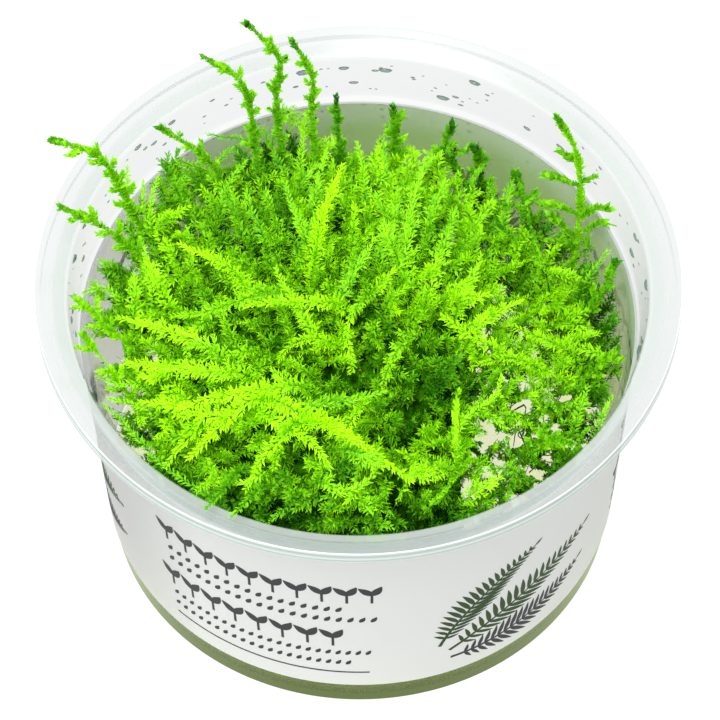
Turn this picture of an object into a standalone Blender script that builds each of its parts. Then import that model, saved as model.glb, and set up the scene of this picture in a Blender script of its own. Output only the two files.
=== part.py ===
"""A clump of feathery moss in a shallow round clear tub, with its gel layer and its wrap label.

Metres, +Z up. The origin is the middle of the tub's flat underside, and -Y is the front.
"""

import math
import random

import bmesh
import bpy
from mathutils import Vector
from mathutils.geometry import interpolate_bezier

MM = 0.001

# Driving dimensions of the tub
TUB_HEIGHT = 55.0 * MM
RIM_RADIUS = 47.5 * MM
LIP_RADIUS = 42.7 * MM
LIP_DROP = 1.9 * MM
SKIRT_HEIGHT = 2.5 * MM
SHOULDER_HEIGHT = 44.6 * MM
SHOULDER_RADIUS = 40.8 * MM
SHOULDER_STEP = 1.4 * MM
BASE_RADIUS = 37.7 * MM
FOOT_ROUNDING = 1.5 * MM
WALL = 0.8 * MM
FLOOR = 1.0 * MM
FLANGE_THICKNESS = 1.1 * MM
EDGE_ROUNDING = 0.3 * MM
TURN_STEPS = 48
SHARP_ANGLE = 40.0

# Label, gel and the clearance kept between touching pieces
LABEL_BOTTOM = 5.6 * MM
LABEL_TOP = 44.2 * MM
LABEL_THICKNESS = 0.25 * MM
GEL_TOP = 7.0 * MM
CLEARANCE = 0.3 * MM

# The clump: how high it stands in the middle, and how far it falls towards its sides
CLUMP_TOP = 54.8 * MM
CLUMP_DOME = 5.0 * MM
CLUMP_RIGHT_FALL = 9.0 * MM
CLUMP_BACK_FALL = 4.0 * MM
CLUMP_FRONT_REACH = 38.4 * MM
CLUMP_BACK_REACH = 30.5 * MM
CLUMP_RIGHT_REACH = 36.4 * MM
CLUMP_EDGE_DROP = 3.0 * MM
CLUMP_SIDE_CURVE = 1.5
CLUMP_STEPS = 40
CLUMP_RINGS = 7
SIDE_RINGS = 4
RIGHT_FALL_SPAN = (2.0 * MM, 36.0 * MM)
BACK_FALL_SPAN = (12.0 * MM, 31.0 * MM)
RIGHT_REACH_SPAN = (0.2, 0.9)
BACK_REACH_SPAN = (-0.1, 0.75)

# Hollows in the clump's top: x, y, depth and spread. The widest is where the moss is loose
HOLLOWS = (
    (-1.0 * MM, -12.0 * MM, 6.0 * MM, 8.0 * MM),
    (9.0 * MM, -19.0 * MM, 6.0 * MM, 8.0 * MM),
    (27.0 * MM, -22.0 * MM, 7.0 * MM, 9.0 * MM),
)

# Sprigs: leafy branches lying over the clump's top, fused to it
SPRIGS = 74
SPRIG_LENGTH = (8.0 * MM, 13.0 * MM)
SPRIG_LIFT = (1.2 * MM, 4.0 * MM)
SPRIG_ROOT = 2.8 * MM
SPRIG_EDGE_ROOM = 2.0 * MM
SPRIG_TURN = 1.5
SPRIG_TRIES = 6
SPRIG_HALF_WIDTH = 2.1 * MM
SPRIG_FLATNESS = 0.5
SPRIG_SIDES = 4
SPRIG_TUFT_SPACING = 3.6 * MM
SPRIG_CLEAR_OF_SHOOT = 3.5 * MM
SEED = 7

# Free shoots: the half width at the base, how flat they are, and the spacing of their tufts of leaves
SHOOT_HALF_WIDTH = 1.35 * MM
SHOOT_FLATNESS = 0.72
SHOOT_SIDES = 5
SHOOT_TUFT_SPACING = 2.5 * MM
SHOOT_TRIM = 0.4 * MM

# Both kinds narrow between their tufts and taper to the tip. A curve is cut this fine before it is spaced out
TUFT_WAIST = 0.62
TIP_TAPER = 0.55
CURVE_STEPS = 24

# Each free shoot runs from a point inside the clump to its tip, in mm, with the scale of its width
SHOOTS = {
    "shoot_left_high": ([(-31, 12, 49), (-35.6, 12, 66), (-38.6, 12.5, 71), (-44.2, 13, 73.4)], 1),
    "shoot_left_low": ([(-29.5, 5.5, 50), (-34.9, 7, 57), (-39.2, 8, 60.6), (-43.4, 8, 63.7)], 1),
    "shoot_left_side": ([(-31, -7.5, 47), (-36.5, -6.5, 53), (-39.2, -5, 56.2), (-41.6, -3.5, 57.4)], 0.9),
    "shoot_left_front": ([(-31, -17, 45), (-35.4, -14.5, 52), (-38, -12.5, 56), (-40, -11.5, 59)], 0.9),
    "shoot_back_arching": ([(-14.6, 23, 47), (-15.6, 26.5, 62), (-17.4, 28, 68), (-22.3, 30, 70.5)], 0.9),
    "shoot_back_tallest": ([(-10.6, 25.6, 46), (-11.8, 28.4, 62), (-11.2, 30, 70), (-15.7, 32, 75.6)], 0.9),
    "shoot_back_tall": ([(-5.9, 24.5, 46), (-6.6, 28.4, 58), (-6.4, 29.6, 66), (-9.2, 31, 72.8)], 0.85),
    "shoot_back_short": ([(-1.5, 24.5, 44), (-2.7, 28.4, 54), (-2.9, 29.6, 61)], 0.85),
    "shoot_back_leaning": ([(-19, 17.5, 47), (-21.6, 20.6, 57), (-28.9, 22.6, 63.2)], 0.9),
    "shoot_back_dark": ([(-23.5, 11, 48), (-26, 14.6, 56), (-27.6, 16.6, 60)], 0.8),
    "shoot_back_middle": ([(5.4, 24, 41), (5.9, 29.8, 49), (5.5, 32.4, 54.4)], 1),
    "shoot_back_forked": ([(10.5, 22.5, 40), (12.2, 27.4, 47.5), (14.2, 30, 52.4)], 1),
    "shoot_back_right": ([(18.4, 21, 38), (18.6, 26, 45), (17.6, 28.4, 49.4)], 1),
    "shoot_right_leaning": ([(26.5, 13, 36), (25.6, 20, 42.6), (23.9, 25, 47)], 1),
    "shoot_right_high": ([(30.6, 10.5, 31), (33, 18, 44), (32.7, 22.6, 55), (29.6, 24.6, 62)], 0.95),
    "shoot_right_side": ([(30, 2, 37), (35.4, 4.6, 43.4), (38, 7.6, 48.6)], 1),
    "shoot_right_low": ([(29, -9, 38), (34.8, -7.6, 42.6), (38, -5.6, 45)], 1),
    "shoot_right_front": ([(22, -19, 37.5), (27.2, -23.2, 47.6), (30.6, -26.2, 51)], 1),
    "shoot_middle_bright": ([(-7.4, 0, 49), (-5.5, 6.6, 60), (-3.6, 10.4, 63.4), (-2.2, 13.6, 65.4)], 1.05),
    "shoot_middle_left": ([(-13.4, -3, 50), (-18.6, -1, 60.4), (-25.9, 1.6, 62.8)], 1.1),
    "shoot_middle_right": ([(8.6, 4, 45), (10.8, 10.6, 56), (13.2, 15.6, 58.6)], 1.1),
    "shoot_front_lying": ([(-12, -22, 49), (-6, -27, 58.4), (1.6, -31.4, 57.8)], 1.2),
    "shoot_front_lip": ([(-18, -28, 46), (-21.2, -33.4, 53.6), (-23.6, -36.8, 55.6)], 1),
}

# Side branches of the tall shoot at the right, fused to it
BRANCHES = {
    "shoot_right_high": [
        ([(33, 20.6, 50.2), (30.4, 21, 51.4), (27.8, 21.2, 52.4)], 0.6),
        ([(33, 18.4, 45.2), (35.2, 18.2, 47.6), (37.2, 16.8, 49.6)], 0.6),
        ([(32.7, 16.9, 42), (30.6, 17.8, 44), (28.8, 18.4, 45.8)], 0.6),
    ],
}


def material(name, colour, roughness, transmission=0.0, ior=1.45):
    """A plain material with one colour, given as linear red, green and blue."""
    made = bpy.data.materials.new(name)
    made.use_nodes = True
    shader = made.node_tree.nodes["Principled BSDF"]
    shader.inputs["Base Color"].default_value = (*colour, 1.0)
    shader.inputs["Roughness"].default_value = roughness
    shader.inputs["Metallic"].default_value = 0.0
    shader.inputs["Transmission Weight"].default_value = transmission
    shader.inputs["IOR"].default_value = ior
    made.diffuse_color = (*colour, 1.0)
    return made


def new_object(name, mesh_builder, finish):
    """Turns a bmesh into a named object with outward faces and smooth shading."""
    bmesh.ops.recalc_face_normals(mesh_builder, faces=mesh_builder.faces)
    mesh = bpy.data.meshes.new(name)
    mesh_builder.to_mesh(mesh)
    mesh_builder.free()
    mesh.materials.append(finish)
    mesh.shade_smooth()
    mesh.set_sharp_from_angle(angle=math.radians(SHARP_ANGLE))
    made = bpy.data.objects.new(name, mesh)
    bpy.context.scene.collection.objects.link(made)
    return made


def turned(name, profile, finish, closed_loop=False):
    """Spins a profile of (radius, height) points about Z. An open profile starts and ends on the axis."""
    builder = bmesh.new()
    points = profile if closed_loop else profile[1:-1]
    rings = []
    for step in range(TURN_STEPS):
        angle = math.tau * step / TURN_STEPS
        ring = [builder.verts.new((r * math.cos(angle), r * math.sin(angle), z)) for r, z in points]
        rings.append(ring)
    ends = [] if closed_loop else [builder.verts.new((0, 0, profile[k][1])) for k in (0, -1)]
    for here, there in zip(rings, rings[1:] + rings[:1]):
        for k in range(len(points) - 1):
            builder.faces.new((here[k], there[k], there[k + 1], here[k + 1]))
        if closed_loop:
            builder.faces.new((here[-1], there[-1], there[0], here[0]))
        else:
            builder.faces.new((ends[0], there[0], here[0]))
            builder.faces.new((here[-1], there[-1], ends[1]))
    return new_object(name, builder, finish)


def wall_radius(height):
    """Outer radius of the drafted wall below the shoulder."""
    return BASE_RADIUS + (SHOULDER_RADIUS - BASE_RADIUS) * height / SHOULDER_HEIGHT


def inner_radius(height):
    """Inner radius of the tub, up to the lip."""
    if height < SHOULDER_HEIGHT:
        return wall_radius(height) - WALL
    above = (height - SHOULDER_HEIGHT) / (TUB_HEIGHT - LIP_DROP - SHOULDER_HEIGHT)
    low = SHOULDER_RADIUS + SHOULDER_STEP - WALL
    return low + (LIP_RADIUS - low) * min(above, 1.0)


def build_tub():
    """Thin moulded wall with a rounded foot, a shoulder above the label, and a flange with a skirt."""
    lip_height = TUB_HEIGHT - LIP_DROP
    foot = []
    for quarter in (0.0, 0.5, 1.0):
        angle = quarter * math.pi / 2
        reach = BASE_RADIUS - FOOT_ROUNDING * (1 - math.sin(angle))
        foot.append((reach, FOOT_ROUNDING * (1 - math.cos(angle))))
    outer_lip = LIP_RADIUS + WALL
    skirt_inside = RIM_RADIUS - WALL
    outside = [
        (0, 0),
        *foot,
        (SHOULDER_RADIUS, SHOULDER_HEIGHT),
        (SHOULDER_RADIUS + SHOULDER_STEP, SHOULDER_HEIGHT + SHOULDER_STEP),
        (outer_lip, lip_height - FLANGE_THICKNESS),
        (skirt_inside, TUB_HEIGHT - FLANGE_THICKNESS),
        (skirt_inside, TUB_HEIGHT - SKIRT_HEIGHT),
        (RIM_RADIUS, TUB_HEIGHT - SKIRT_HEIGHT),
        (RIM_RADIUS, TUB_HEIGHT - EDGE_ROUNDING),
        (RIM_RADIUS - EDGE_ROUNDING, TUB_HEIGHT),
    ]
    inside = [
        (LIP_RADIUS + EDGE_ROUNDING, lip_height),
        (LIP_RADIUS, lip_height - EDGE_ROUNDING),
        (SHOULDER_RADIUS + SHOULDER_STEP - WALL, SHOULDER_HEIGHT + SHOULDER_STEP + EDGE_ROUNDING),
        (SHOULDER_RADIUS - WALL, SHOULDER_HEIGHT + EDGE_ROUNDING),
        (wall_radius(FLOOR + FOOT_ROUNDING) - WALL, FLOOR + FOOT_ROUNDING),
        (BASE_RADIUS - WALL - FOOT_ROUNDING, FLOOR),
        (0, FLOOR),
    ]
    clear = material("clear_polypropylene", (0.86, 0.89, 0.87), 0.15, transmission=0.9, ior=1.49)
    return turned("tub", outside + inside, clear)


def build_label():
    """Thin film band wrapped round the wall below the shoulder."""
    film = material("white_label_film", (0.82, 0.83, 0.84), 0.4)
    gap = CLEARANCE + LABEL_THICKNESS
    loop = [
        (wall_radius(LABEL_BOTTOM) + CLEARANCE, LABEL_BOTTOM),
        (wall_radius(LABEL_BOTTOM) + gap, LABEL_BOTTOM),
        (wall_radius(LABEL_TOP) + gap, LABEL_TOP),
        (wall_radius(LABEL_TOP) + CLEARANCE, LABEL_TOP),
    ]
    return turned("label", loop, film, closed_loop=True)


def build_gel():
    """The nutrient gel, poured as a flat layer on the tub's floor."""
    gel = material("nutrient_gel", (0.30, 0.40, 0.12), 0.2, transmission=0.6, ior=1.34)
    low = FLOOR + CLEARANCE
    profile = [
        (0, low),
        (BASE_RADIUS - WALL - FOOT_ROUNDING - CLEARANCE, low),
        (wall_radius(FLOOR + FOOT_ROUNDING) - WALL - CLEARANCE, FLOOR + FOOT_ROUNDING + CLEARANCE),
        (wall_radius(GEL_TOP) - WALL - CLEARANCE, GEL_TOP),
        (0, GEL_TOP),
    ]
    return turned("nutrient_gel", profile, gel)


def smooth_step(value, low, high):
    """0 below low, 1 above high, and a soft rise between."""
    share = min(max((value - low) / (high - low), 0.0), 1.0)
    return share * share * (3 - 2 * share)


def clump_height(x, y):
    """Height of the clump's top: a low dome with hollows, falling towards the right and the back."""
    out = math.hypot(x, y) / CLUMP_FRONT_REACH
    right = CLUMP_RIGHT_FALL * smooth_step(x, *RIGHT_FALL_SPAN)
    back = CLUMP_BACK_FALL * smooth_step(y, *BACK_FALL_SPAN)
    hollow = 0.0
    for hollow_x, hollow_y, depth, spread in HOLLOWS:
        away = math.hypot(x - hollow_x, y - hollow_y) / spread
        hollow = max(hollow, depth * math.exp(-away * away))
    return CLUMP_TOP - CLUMP_DOME * out * out - right - back - hollow


def clump_reach(angle):
    """How far the clump's top reaches from the axis: to the wall in front, and short of it at the back."""
    back = smooth_step(math.sin(angle), *BACK_REACH_SPAN)
    right = smooth_step(math.cos(angle), *RIGHT_REACH_SPAN)
    reach = CLUMP_FRONT_REACH + (CLUMP_BACK_REACH - CLUMP_FRONT_REACH) * back
    return min(reach, CLUMP_FRONT_REACH + (CLUMP_RIGHT_REACH - CLUMP_FRONT_REACH) * right)


def clump_body():
    """The dense body of the clump: it fills the tub from the gel up, clear of the wall."""
    bottom = GEL_TOP + CLEARANCE
    side_gap = 2 * CLEARANCE
    angles = [math.tau * step / CLUMP_STEPS for step in range(CLUMP_STEPS)]
    rings = []
    for ring in range(SIDE_RINGS):
        share = ring / (SIDE_RINGS - 1)
        points = []
        for angle in angles:
            reach = clump_reach(angle)
            edge = clump_height(reach * math.cos(angle), reach * math.sin(angle)) - CLUMP_EDGE_DROP
            height = bottom + (edge - bottom) * share
            low = inner_radius(bottom) - side_gap
            radius = min(low + (reach - low) * share**CLUMP_SIDE_CURVE, inner_radius(height) - side_gap)
            points.append((radius * math.cos(angle), radius * math.sin(angle), height))
        rings.append(points)
    for ring in range(1, CLUMP_RINGS):
        points = []
        for angle in angles:
            radius = clump_reach(angle) * (1 - ring / CLUMP_RINGS)
            x, y = radius * math.cos(angle), radius * math.sin(angle)
            points.append((x, y, clump_height(x, y)))
        rings.append(points)
    builder = bmesh.new()
    made = [[builder.verts.new(point) for point in points] for points in rings]
    for lower, upper in zip(made, made[1:]):
        for k in range(CLUMP_STEPS):
            after = (k + 1) % CLUMP_STEPS
            builder.faces.new((lower[k], lower[after], upper[after], upper[k]))
    under = builder.verts.new((0, 0, bottom))
    over = builder.verts.new((0, 0, clump_height(0, 0)))
    for k in range(CLUMP_STEPS):
        after = (k + 1) % CLUMP_STEPS
        builder.faces.new((under, made[0][after], made[0][k]))
        builder.faces.new((made[-1][k], made[-1][after], over))
    return builder


def sprig_curve(x, y, heading, draw):
    """A curve that leaves the clump at (x, y), runs over its top, and ends a little above it."""
    length = draw.uniform(*SPRIG_LENGTH)
    lift = draw.uniform(*SPRIG_LIFT)
    points = []
    for share, height in ((0.0, -SPRIG_ROOT), (0.5, 0.7 * lift), (1.0, lift)):
        at_x = x + length * share * math.cos(heading)
        at_y = y + length * share * math.sin(heading)
        points.append(Vector((at_x, at_y, clump_height(at_x, at_y) + height)))
    return evenly_spaced(points, SPRIG_TUFT_SPACING)


def fits(spots, shoot_spots):
    """Whether a sprig along these spots is clear of the tub's wall and of the free shoots."""
    for spot in spots:
        if math.hypot(spot.x, spot.y) > inner_radius(spot.z) - SPRIG_HALF_WIDTH:
            return False
        if min((spot - other).length for other in shoot_spots) < SPRIG_CLEAR_OF_SHOOT:
            return False
    return True


def sprig_curves():
    """Seeded curves for the sprigs, spread evenly over the clump's top and heading mostly outwards."""
    draw = random.Random(SEED)
    golden_turn = math.pi * (3 - math.sqrt(5))
    shoot_spots = []
    for points, _ in SHOOTS.values():
        shoot_spots += evenly_spaced(in_metres(points), SHOOT_TUFT_SPACING)
    curves = []
    for index in range(SPRIGS):
        angle = index * golden_turn
        out = math.sqrt(index / SPRIGS) * (clump_reach(angle) - SPRIG_EDGE_ROOM)
        for _ in range(SPRIG_TRIES):
            heading = angle + draw.uniform(-SPRIG_TURN, SPRIG_TURN)
            spots = sprig_curve(out * math.cos(angle), out * math.sin(angle), heading, draw)
            if fits(spots, shoot_spots):
                curves.append(spots)
                break
    return curves


def in_metres(points):
    return [Vector(point) * MM for point in points]


def evenly_spaced(knots, tuft_spacing):
    """Points on a smooth curve through the given ones, so far apart that every second one is a tuft."""
    fine = []
    for k in range(len(knots) - 1):
        before = knots[max(k - 1, 0)]
        after = knots[min(k + 2, len(knots) - 1)]
        start_handle = knots[k] + (knots[k + 1] - before) / 6
        end_handle = knots[k + 1] - (after - knots[k]) / 6
        fine += interpolate_bezier(knots[k], start_handle, end_handle, knots[k + 1], CURVE_STEPS)[k > 0 :]
    lengths = [0.0]
    for here, there in zip(fine, fine[1:]):
        lengths.append(lengths[-1] + (there - here).length)
    count = max(4, 2 * round(lengths[-1] / tuft_spacing))
    spots, index = [], 0
    for k in range(count + 1):
        wanted = lengths[-1] * k / count
        while index < len(fine) - 2 and lengths[index + 1] < wanted:
            index += 1
        share = (wanted - lengths[index]) / (lengths[index + 1] - lengths[index])
        spots.append(fine[index].lerp(fine[index + 1], share))
    return spots


def add_spire(builder, spots, half_width, flatness, sides):
    """Adds a tapered spire with a bristling outline: flat rings that swell and narrow along a curve."""
    side = (spots[-1] - spots[0]).cross(Vector((0, 0, 1))).normalized()
    rings = []
    for k, spot in enumerate(spots[:-1]):
        ahead = (spots[k + 1] - spots[max(k - 1, 0)]).normalized()
        side = (side - ahead * side.dot(ahead)).normalized()
        across = ahead.cross(side)
        wave = 1.0 if k % 2 else TUFT_WAIST
        half = half_width * wave * (1 - TIP_TAPER * k / (len(spots) - 1))
        ring = []
        for step in range(sides):
            turn = math.tau * step / sides
            offset = side * math.cos(turn) + across * math.sin(turn) * flatness
            ring.append(builder.verts.new(spot + offset * half))
        rings.append(ring)
    first = builder.verts.new(spots[0] - (spots[1] - spots[0]) * TUFT_WAIST)
    last = builder.verts.new(spots[-1])
    for lower, upper in zip(rings, rings[1:]):
        for k in range(sides):
            after = (k + 1) % sides
            builder.faces.new((lower[k], lower[after], upper[after], upper[k]))
    for k in range(sides):
        after = (k + 1) % sides
        builder.faces.new((first, rings[0][after], rings[0][k]))
        builder.faces.new((rings[-1][k], rings[-1][after], last))


def shoot_mesh(points, scale):
    """One free shoot or side branch."""
    builder = bmesh.new()
    spots = evenly_spaced(in_metres(points), SHOOT_TUFT_SPACING)
    add_spire(builder, spots, SHOOT_HALF_WIDTH * scale, SHOOT_FLATNESS, SHOOT_SIDES)
    return builder


def add_boolean(target, other, operation):
    """Fuses a helper object to a solid or cuts it away, and keeps the helper out of the part."""
    step = target.modifiers.new(f"{operation.lower()}_{other.name}", "BOOLEAN")
    step.operation = operation
    step.solver = "EXACT"
    step.object = other
    other.hide_render = True
    other.display_type = "WIRE"
    return step


def fuse_sprigs(clump, green):
    """Fuses the sprigs to the clump, and to each other where they cross, in one solid."""
    builder = bmesh.new()
    for spots in sprig_curves():
        add_spire(builder, spots, SPRIG_HALF_WIDTH, SPRIG_FLATNESS, SPRIG_SIDES)
    fused = add_boolean(clump, new_object("sprigs", builder, green), "UNION")
    fused.use_self = True


def grown_copy(clump):
    """The clump's body grown by the trim, which cuts the foot of each free shoot. It isn't a part."""
    cutter = clump.copy()
    cutter.data = clump.data.copy()
    cutter.name = "clump_cutter"
    normals = [vertex.normal.copy() for vertex in cutter.data.vertices]
    for vertex, normal in zip(cutter.data.vertices, normals):
        vertex.co += normal * SHOOT_TRIM
    bpy.context.scene.collection.objects.link(cutter)
    return cutter


def build_shoots(cutter):
    """The free shoots, each fused with its side branches and trimmed just clear of the clump."""
    fresh = material("fresh_moss_green", (0.27, 0.62, 0.01), 0.55)
    for name, (points, scale) in SHOOTS.items():
        shoot = new_object(name, shoot_mesh(points, scale), fresh)
        for number, (branch_points, branch_scale) in enumerate(BRANCHES.get(name, [])):
            branch = new_object(f"{name}_branch_{number}", shoot_mesh(branch_points, branch_scale), fresh)
            add_boolean(shoot, branch, "UNION")
        add_boolean(shoot, cutter, "DIFFERENCE")


def build():
    for old in list(bpy.data.objects):
        bpy.data.objects.remove(old, do_unlink=True)
    build_tub()
    build_label()
    build_gel()
    green = material("moss_green", (0.10, 0.36, 0.01), 0.6)
    clump = new_object("moss_clump", clump_body(), green)
    build_shoots(grown_copy(clump))
    fuse_sprigs(clump, green)


build()
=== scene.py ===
"""The looks of the moss clump in its clear tub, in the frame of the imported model. Lengths are in mm."""

import math

import bpy
import numpy as np
from mathutils import Matrix, Vector


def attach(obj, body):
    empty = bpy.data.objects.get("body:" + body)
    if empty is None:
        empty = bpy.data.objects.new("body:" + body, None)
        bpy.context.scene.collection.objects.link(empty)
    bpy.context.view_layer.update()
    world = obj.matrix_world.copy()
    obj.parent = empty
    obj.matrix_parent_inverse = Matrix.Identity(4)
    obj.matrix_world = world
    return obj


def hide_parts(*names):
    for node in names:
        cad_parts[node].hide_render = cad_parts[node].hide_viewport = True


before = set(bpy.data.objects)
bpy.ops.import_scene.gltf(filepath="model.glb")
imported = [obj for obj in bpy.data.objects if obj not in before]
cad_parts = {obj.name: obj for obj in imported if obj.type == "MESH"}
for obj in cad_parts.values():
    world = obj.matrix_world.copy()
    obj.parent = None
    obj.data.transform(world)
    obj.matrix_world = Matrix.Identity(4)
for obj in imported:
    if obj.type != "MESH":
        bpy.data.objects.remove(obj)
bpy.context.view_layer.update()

MM = 0.001
UP = np.array([0.0, 0.0, 1.0])

# The tub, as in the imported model, but with a thinner floor, so that the gel's band reaches down to the foot
TUB_HEIGHT = 55.0
RIM_RADIUS = 47.5
LIP_RADIUS = 42.7
LIP_DROP = 1.9
LIP_EDGE_DROP = 0.4
SKIRT_HEIGHT = 2.5
FLANGE_THICKNESS = 1.1
SHOULDER_HEIGHT = 44.6
SHOULDER_RADIUS = 40.8
SHOULDER_STEP = 1.4
SHOULDER_RISE = 1.2
SHOULDER_INNER = 0.3
BASE_RADIUS = 37.7
FOOT_HEIGHT = 3.0
WALL = 0.8
FLOOR = 0.6

# Turned outlines end this near the axis, and are spun in this many steps
AXIS = 0.01
TURN_STEPS = 256
GEL_STEPS = 192

# The gel and the label. The label's glued side and its face stand this far out from the wall
GEL_TOP = 7.0
GEL_GAP = 0.06
LABEL_BOTTOM = 5.6
LABEL_MIDDLE = 25.0
LABEL_TOP = 44.2
LABEL_BACK = 0.05
LABEL_FACE = 0.42

# Across the tub at the left, from the first of these to the second, the film is thinner and the glued side is
# painted near-white as painted light
LIT_LEFT_FROM = -24.0
LIT_LEFT_TO = -34.0

# The print: its ink's top and underside, out from the label's face, and its pattern's repeats round the tub
INK_ABOVE = 0.03
INK_BELOW = 0.004
PRINT_REPEATS = 3
PRINT_START = 11.0

# Printed ferns of each fan: across and up, heading, length, longest leaflet, and how far the stem bends
GREEN_FERNS = ((0.3, 13.2, 1.25, 24.0, 5.2, -0.75), (1.2, 11.6, 0.62, 28.0, 5.6, -0.35))
DARK_FERN = (1.4, 10.0, 0.02, 25.0, 5.0, 0.35)
FERN_STEPS = 22

# Rows of printed leaves: height, leaf length, the step to the next, and how many. Long ones have a stalk
LEAF_ROWS = (
    (33.0, 4.6, 3.6, 10),
    (28.0, 2.6, 1.7, 17),
    (25.0, 2.6, 1.7, 20),
    (20.0, 4.8, 3.8, 8),
    (15.0, 2.3, 1.5, 22),
    (12.0, 2.3, 1.5, 20),
)
ROWS_START = -42.0
ROWS_END = -10.0
STALKED_FROM = 3.0
RULE_HEIGHT = 9.6
RULE_WIDTH = 0.35

# Condensed water on the inner wall above the label
BEADS = 170
BEAD_SIDES = 8

# The clump's top: 1.2 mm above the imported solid's, where the tips of the fronds are, and with fewer hollows
CLUMP_TOP = 56.0
CLUMP_DOME = 5.0
RIGHT_FALL = 9.0
BACK_FALL = 4.0
FRONT_REACH = 38.4
BACK_REACH = 30.5
RIGHT_REACH = 36.4
HOLLOWS = ((-1.0, -12.0), (9.0, -19.0))
HOLLOW_REACH = 8.0
HOLLOW_DEPTH = 6.0

# The old moss packed in the middle, drawn dark as painted shade of the mass's inside: how far it stays under
# the top and in from the sides, and its notch at the right, where the loose patch shows the gel
CORE_DEPTH = 6.0
CORE_INSET = 9.0
CORE_EDGE_DROP = 13.0
CORE_NOTCH = math.radians(-12)
CORE_NOTCH_DEPTH = 12.0
CORE_NOTCH_WIDTH = 0.75
CORE_STEPS = 96
CORE_RINGS = 26

# Free shoots, as in the imported model: the route, the scale of its leaves, and how light its green is, 0 to 1
SHOOTS = {
    "left_high": ([(-31, 12, 49), (-35.6, 12, 66), (-38.6, 12.5, 71), (-44.2, 13, 73.4)], 1.0, 0.62),
    "left_low": ([(-29.5, 5.5, 50), (-34.9, 7, 57), (-39.2, 8, 60.6), (-43.4, 8, 63.7)], 1.0, 0.62),
    "left_side": ([(-31, -7.5, 47), (-36.5, -6.5, 53), (-39.2, -5, 56.2), (-41.6, -3.5, 57.4)], 0.9, 0.7),
    "left_front": ([(-31, -17, 45), (-35.4, -14.5, 52), (-38, -12.5, 56), (-40, -11.5, 59)], 0.9, 0.7),
    "back_arching": ([(-14.6, 23, 47), (-15.6, 26.5, 62), (-17.4, 28, 68), (-22.3, 30, 70.5)], 0.9, 0.6),
    "back_tallest": ([(-10.6, 25.6, 46), (-11.8, 28.4, 62), (-11.2, 30, 70), (-15.7, 32, 75.6)], 0.9, 0.6),
    "back_tall": ([(-5.9, 24.5, 46), (-6.6, 28.4, 58), (-6.4, 29.6, 66), (-9.2, 31, 72.8)], 0.85, 0.6),
    "back_short": ([(-1.5, 24.5, 44), (-2.7, 28.4, 54), (-2.9, 29.6, 61)], 0.85, 0.4),
    "back_leaning": ([(-19, 17.5, 47), (-21.6, 20.6, 57), (-28.9, 22.6, 63.2)], 0.9, 0.5),
    "back_dark": ([(-23.5, 11, 48), (-26, 14.6, 56), (-27.6, 16.6, 60)], 0.8, 0.45),
    "back_middle": ([(5.4, 24, 41), (5.9, 29.8, 49), (5.5, 32.4, 54.4)], 1.0, 0.5),
    "back_forked": ([(10.5, 22.5, 40), (12.2, 27.4, 47.5), (14.2, 30, 52.4)], 1.0, 0.45),
    "back_right": ([(18.4, 21, 38), (18.6, 26, 45), (17.6, 28.4, 49.4)], 1.0, 0.42),
    "right_leaning": ([(26.5, 13, 36), (25.6, 20, 42.6), (23.9, 25, 47)], 1.0, 0.45),
    "right_high": ([(30.6, 10.5, 31), (33, 18, 44), (32.7, 22.6, 55), (29.6, 24.6, 62)], 0.95, 0.66),
    "right_side": ([(30, 2, 37), (35.4, 4.6, 43.4), (38, 7.6, 48.6)], 1.0, 0.6),
    "right_low": ([(29, -9, 38), (34.8, -7.6, 42.6), (38, -5.6, 45)], 1.0, 0.6),
    "right_front": ([(22, -19, 37.5), (27.2, -23.2, 47.6), (30.6, -26.2, 51)], 1.0, 0.6),
    "middle_bright": ([(-7.4, 0, 49), (-5.5, 6.6, 60), (-3.6, 10.4, 63.4), (-2.2, 13.6, 65.4)], 1.05, 1.0),
    "middle_left": ([(-13.4, -3, 50), (-18.6, -1, 60.4), (-25.9, 1.6, 62.8)], 1.1, 0.92),
    "middle_right": ([(8.6, 4, 45), (10.8, 10.6, 56), (13.2, 15.6, 58.6)], 1.1, 0.66),
    "front_lying": ([(-12, -22, 49), (-6, -27, 58.4), (1.6, -31.4, 57.8)], 1.2, 1.0),
    "front_lip": ([(-18, -28, 46), (-21.2, -33.4, 53.6), (-23.6, -36.8, 55.6)], 1.0, 0.8),
}

# How long the free shoots' side buds are, by name or by side. The tall one at the right has branches instead
BUDS = {"left": 2.3, "back": 1.5, "right": 1.8, "right_high": 0.0}
BROAD_SHOOTS = ("back_middle", "back_forked", "back_right", "right_leaning")

# Side branches of the tall shoot at the right
SHOOT_BRANCHES = [
    [(33, 20.6, 50.2), (30.4, 21, 51.4), (27.8, 21.2, 52.4)],
    [(33, 18.4, 45.2), (35.2, 18.2, 47.6), (37.2, 16.8, 49.6)],
    [(32.7, 16.9, 42), (30.6, 17.8, 44), (28.8, 18.4, 45.8)],
    [(32.7, 23.0, 53.1), (31.4, 23.3, 53.9), (30.2, 23.6, 54.8)],
    [(33.2, 21.6, 49.9), (34.4, 21.4, 50.7), (35.5, 21.4, 51.4)],
    [(32.8, 18.7, 45.6), (30.2, 19.3, 46.8), (27.4, 20.0, 46.7)],
    [(33.7, 17.3, 42.9), (36.1, 17.0, 45.6), (38.6, 16.0, 46.1)],
    [(32.9, 16.2, 40.9), (30.2, 16.8, 41.4), (28.0, 17.4, 40.9)],
]
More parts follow.
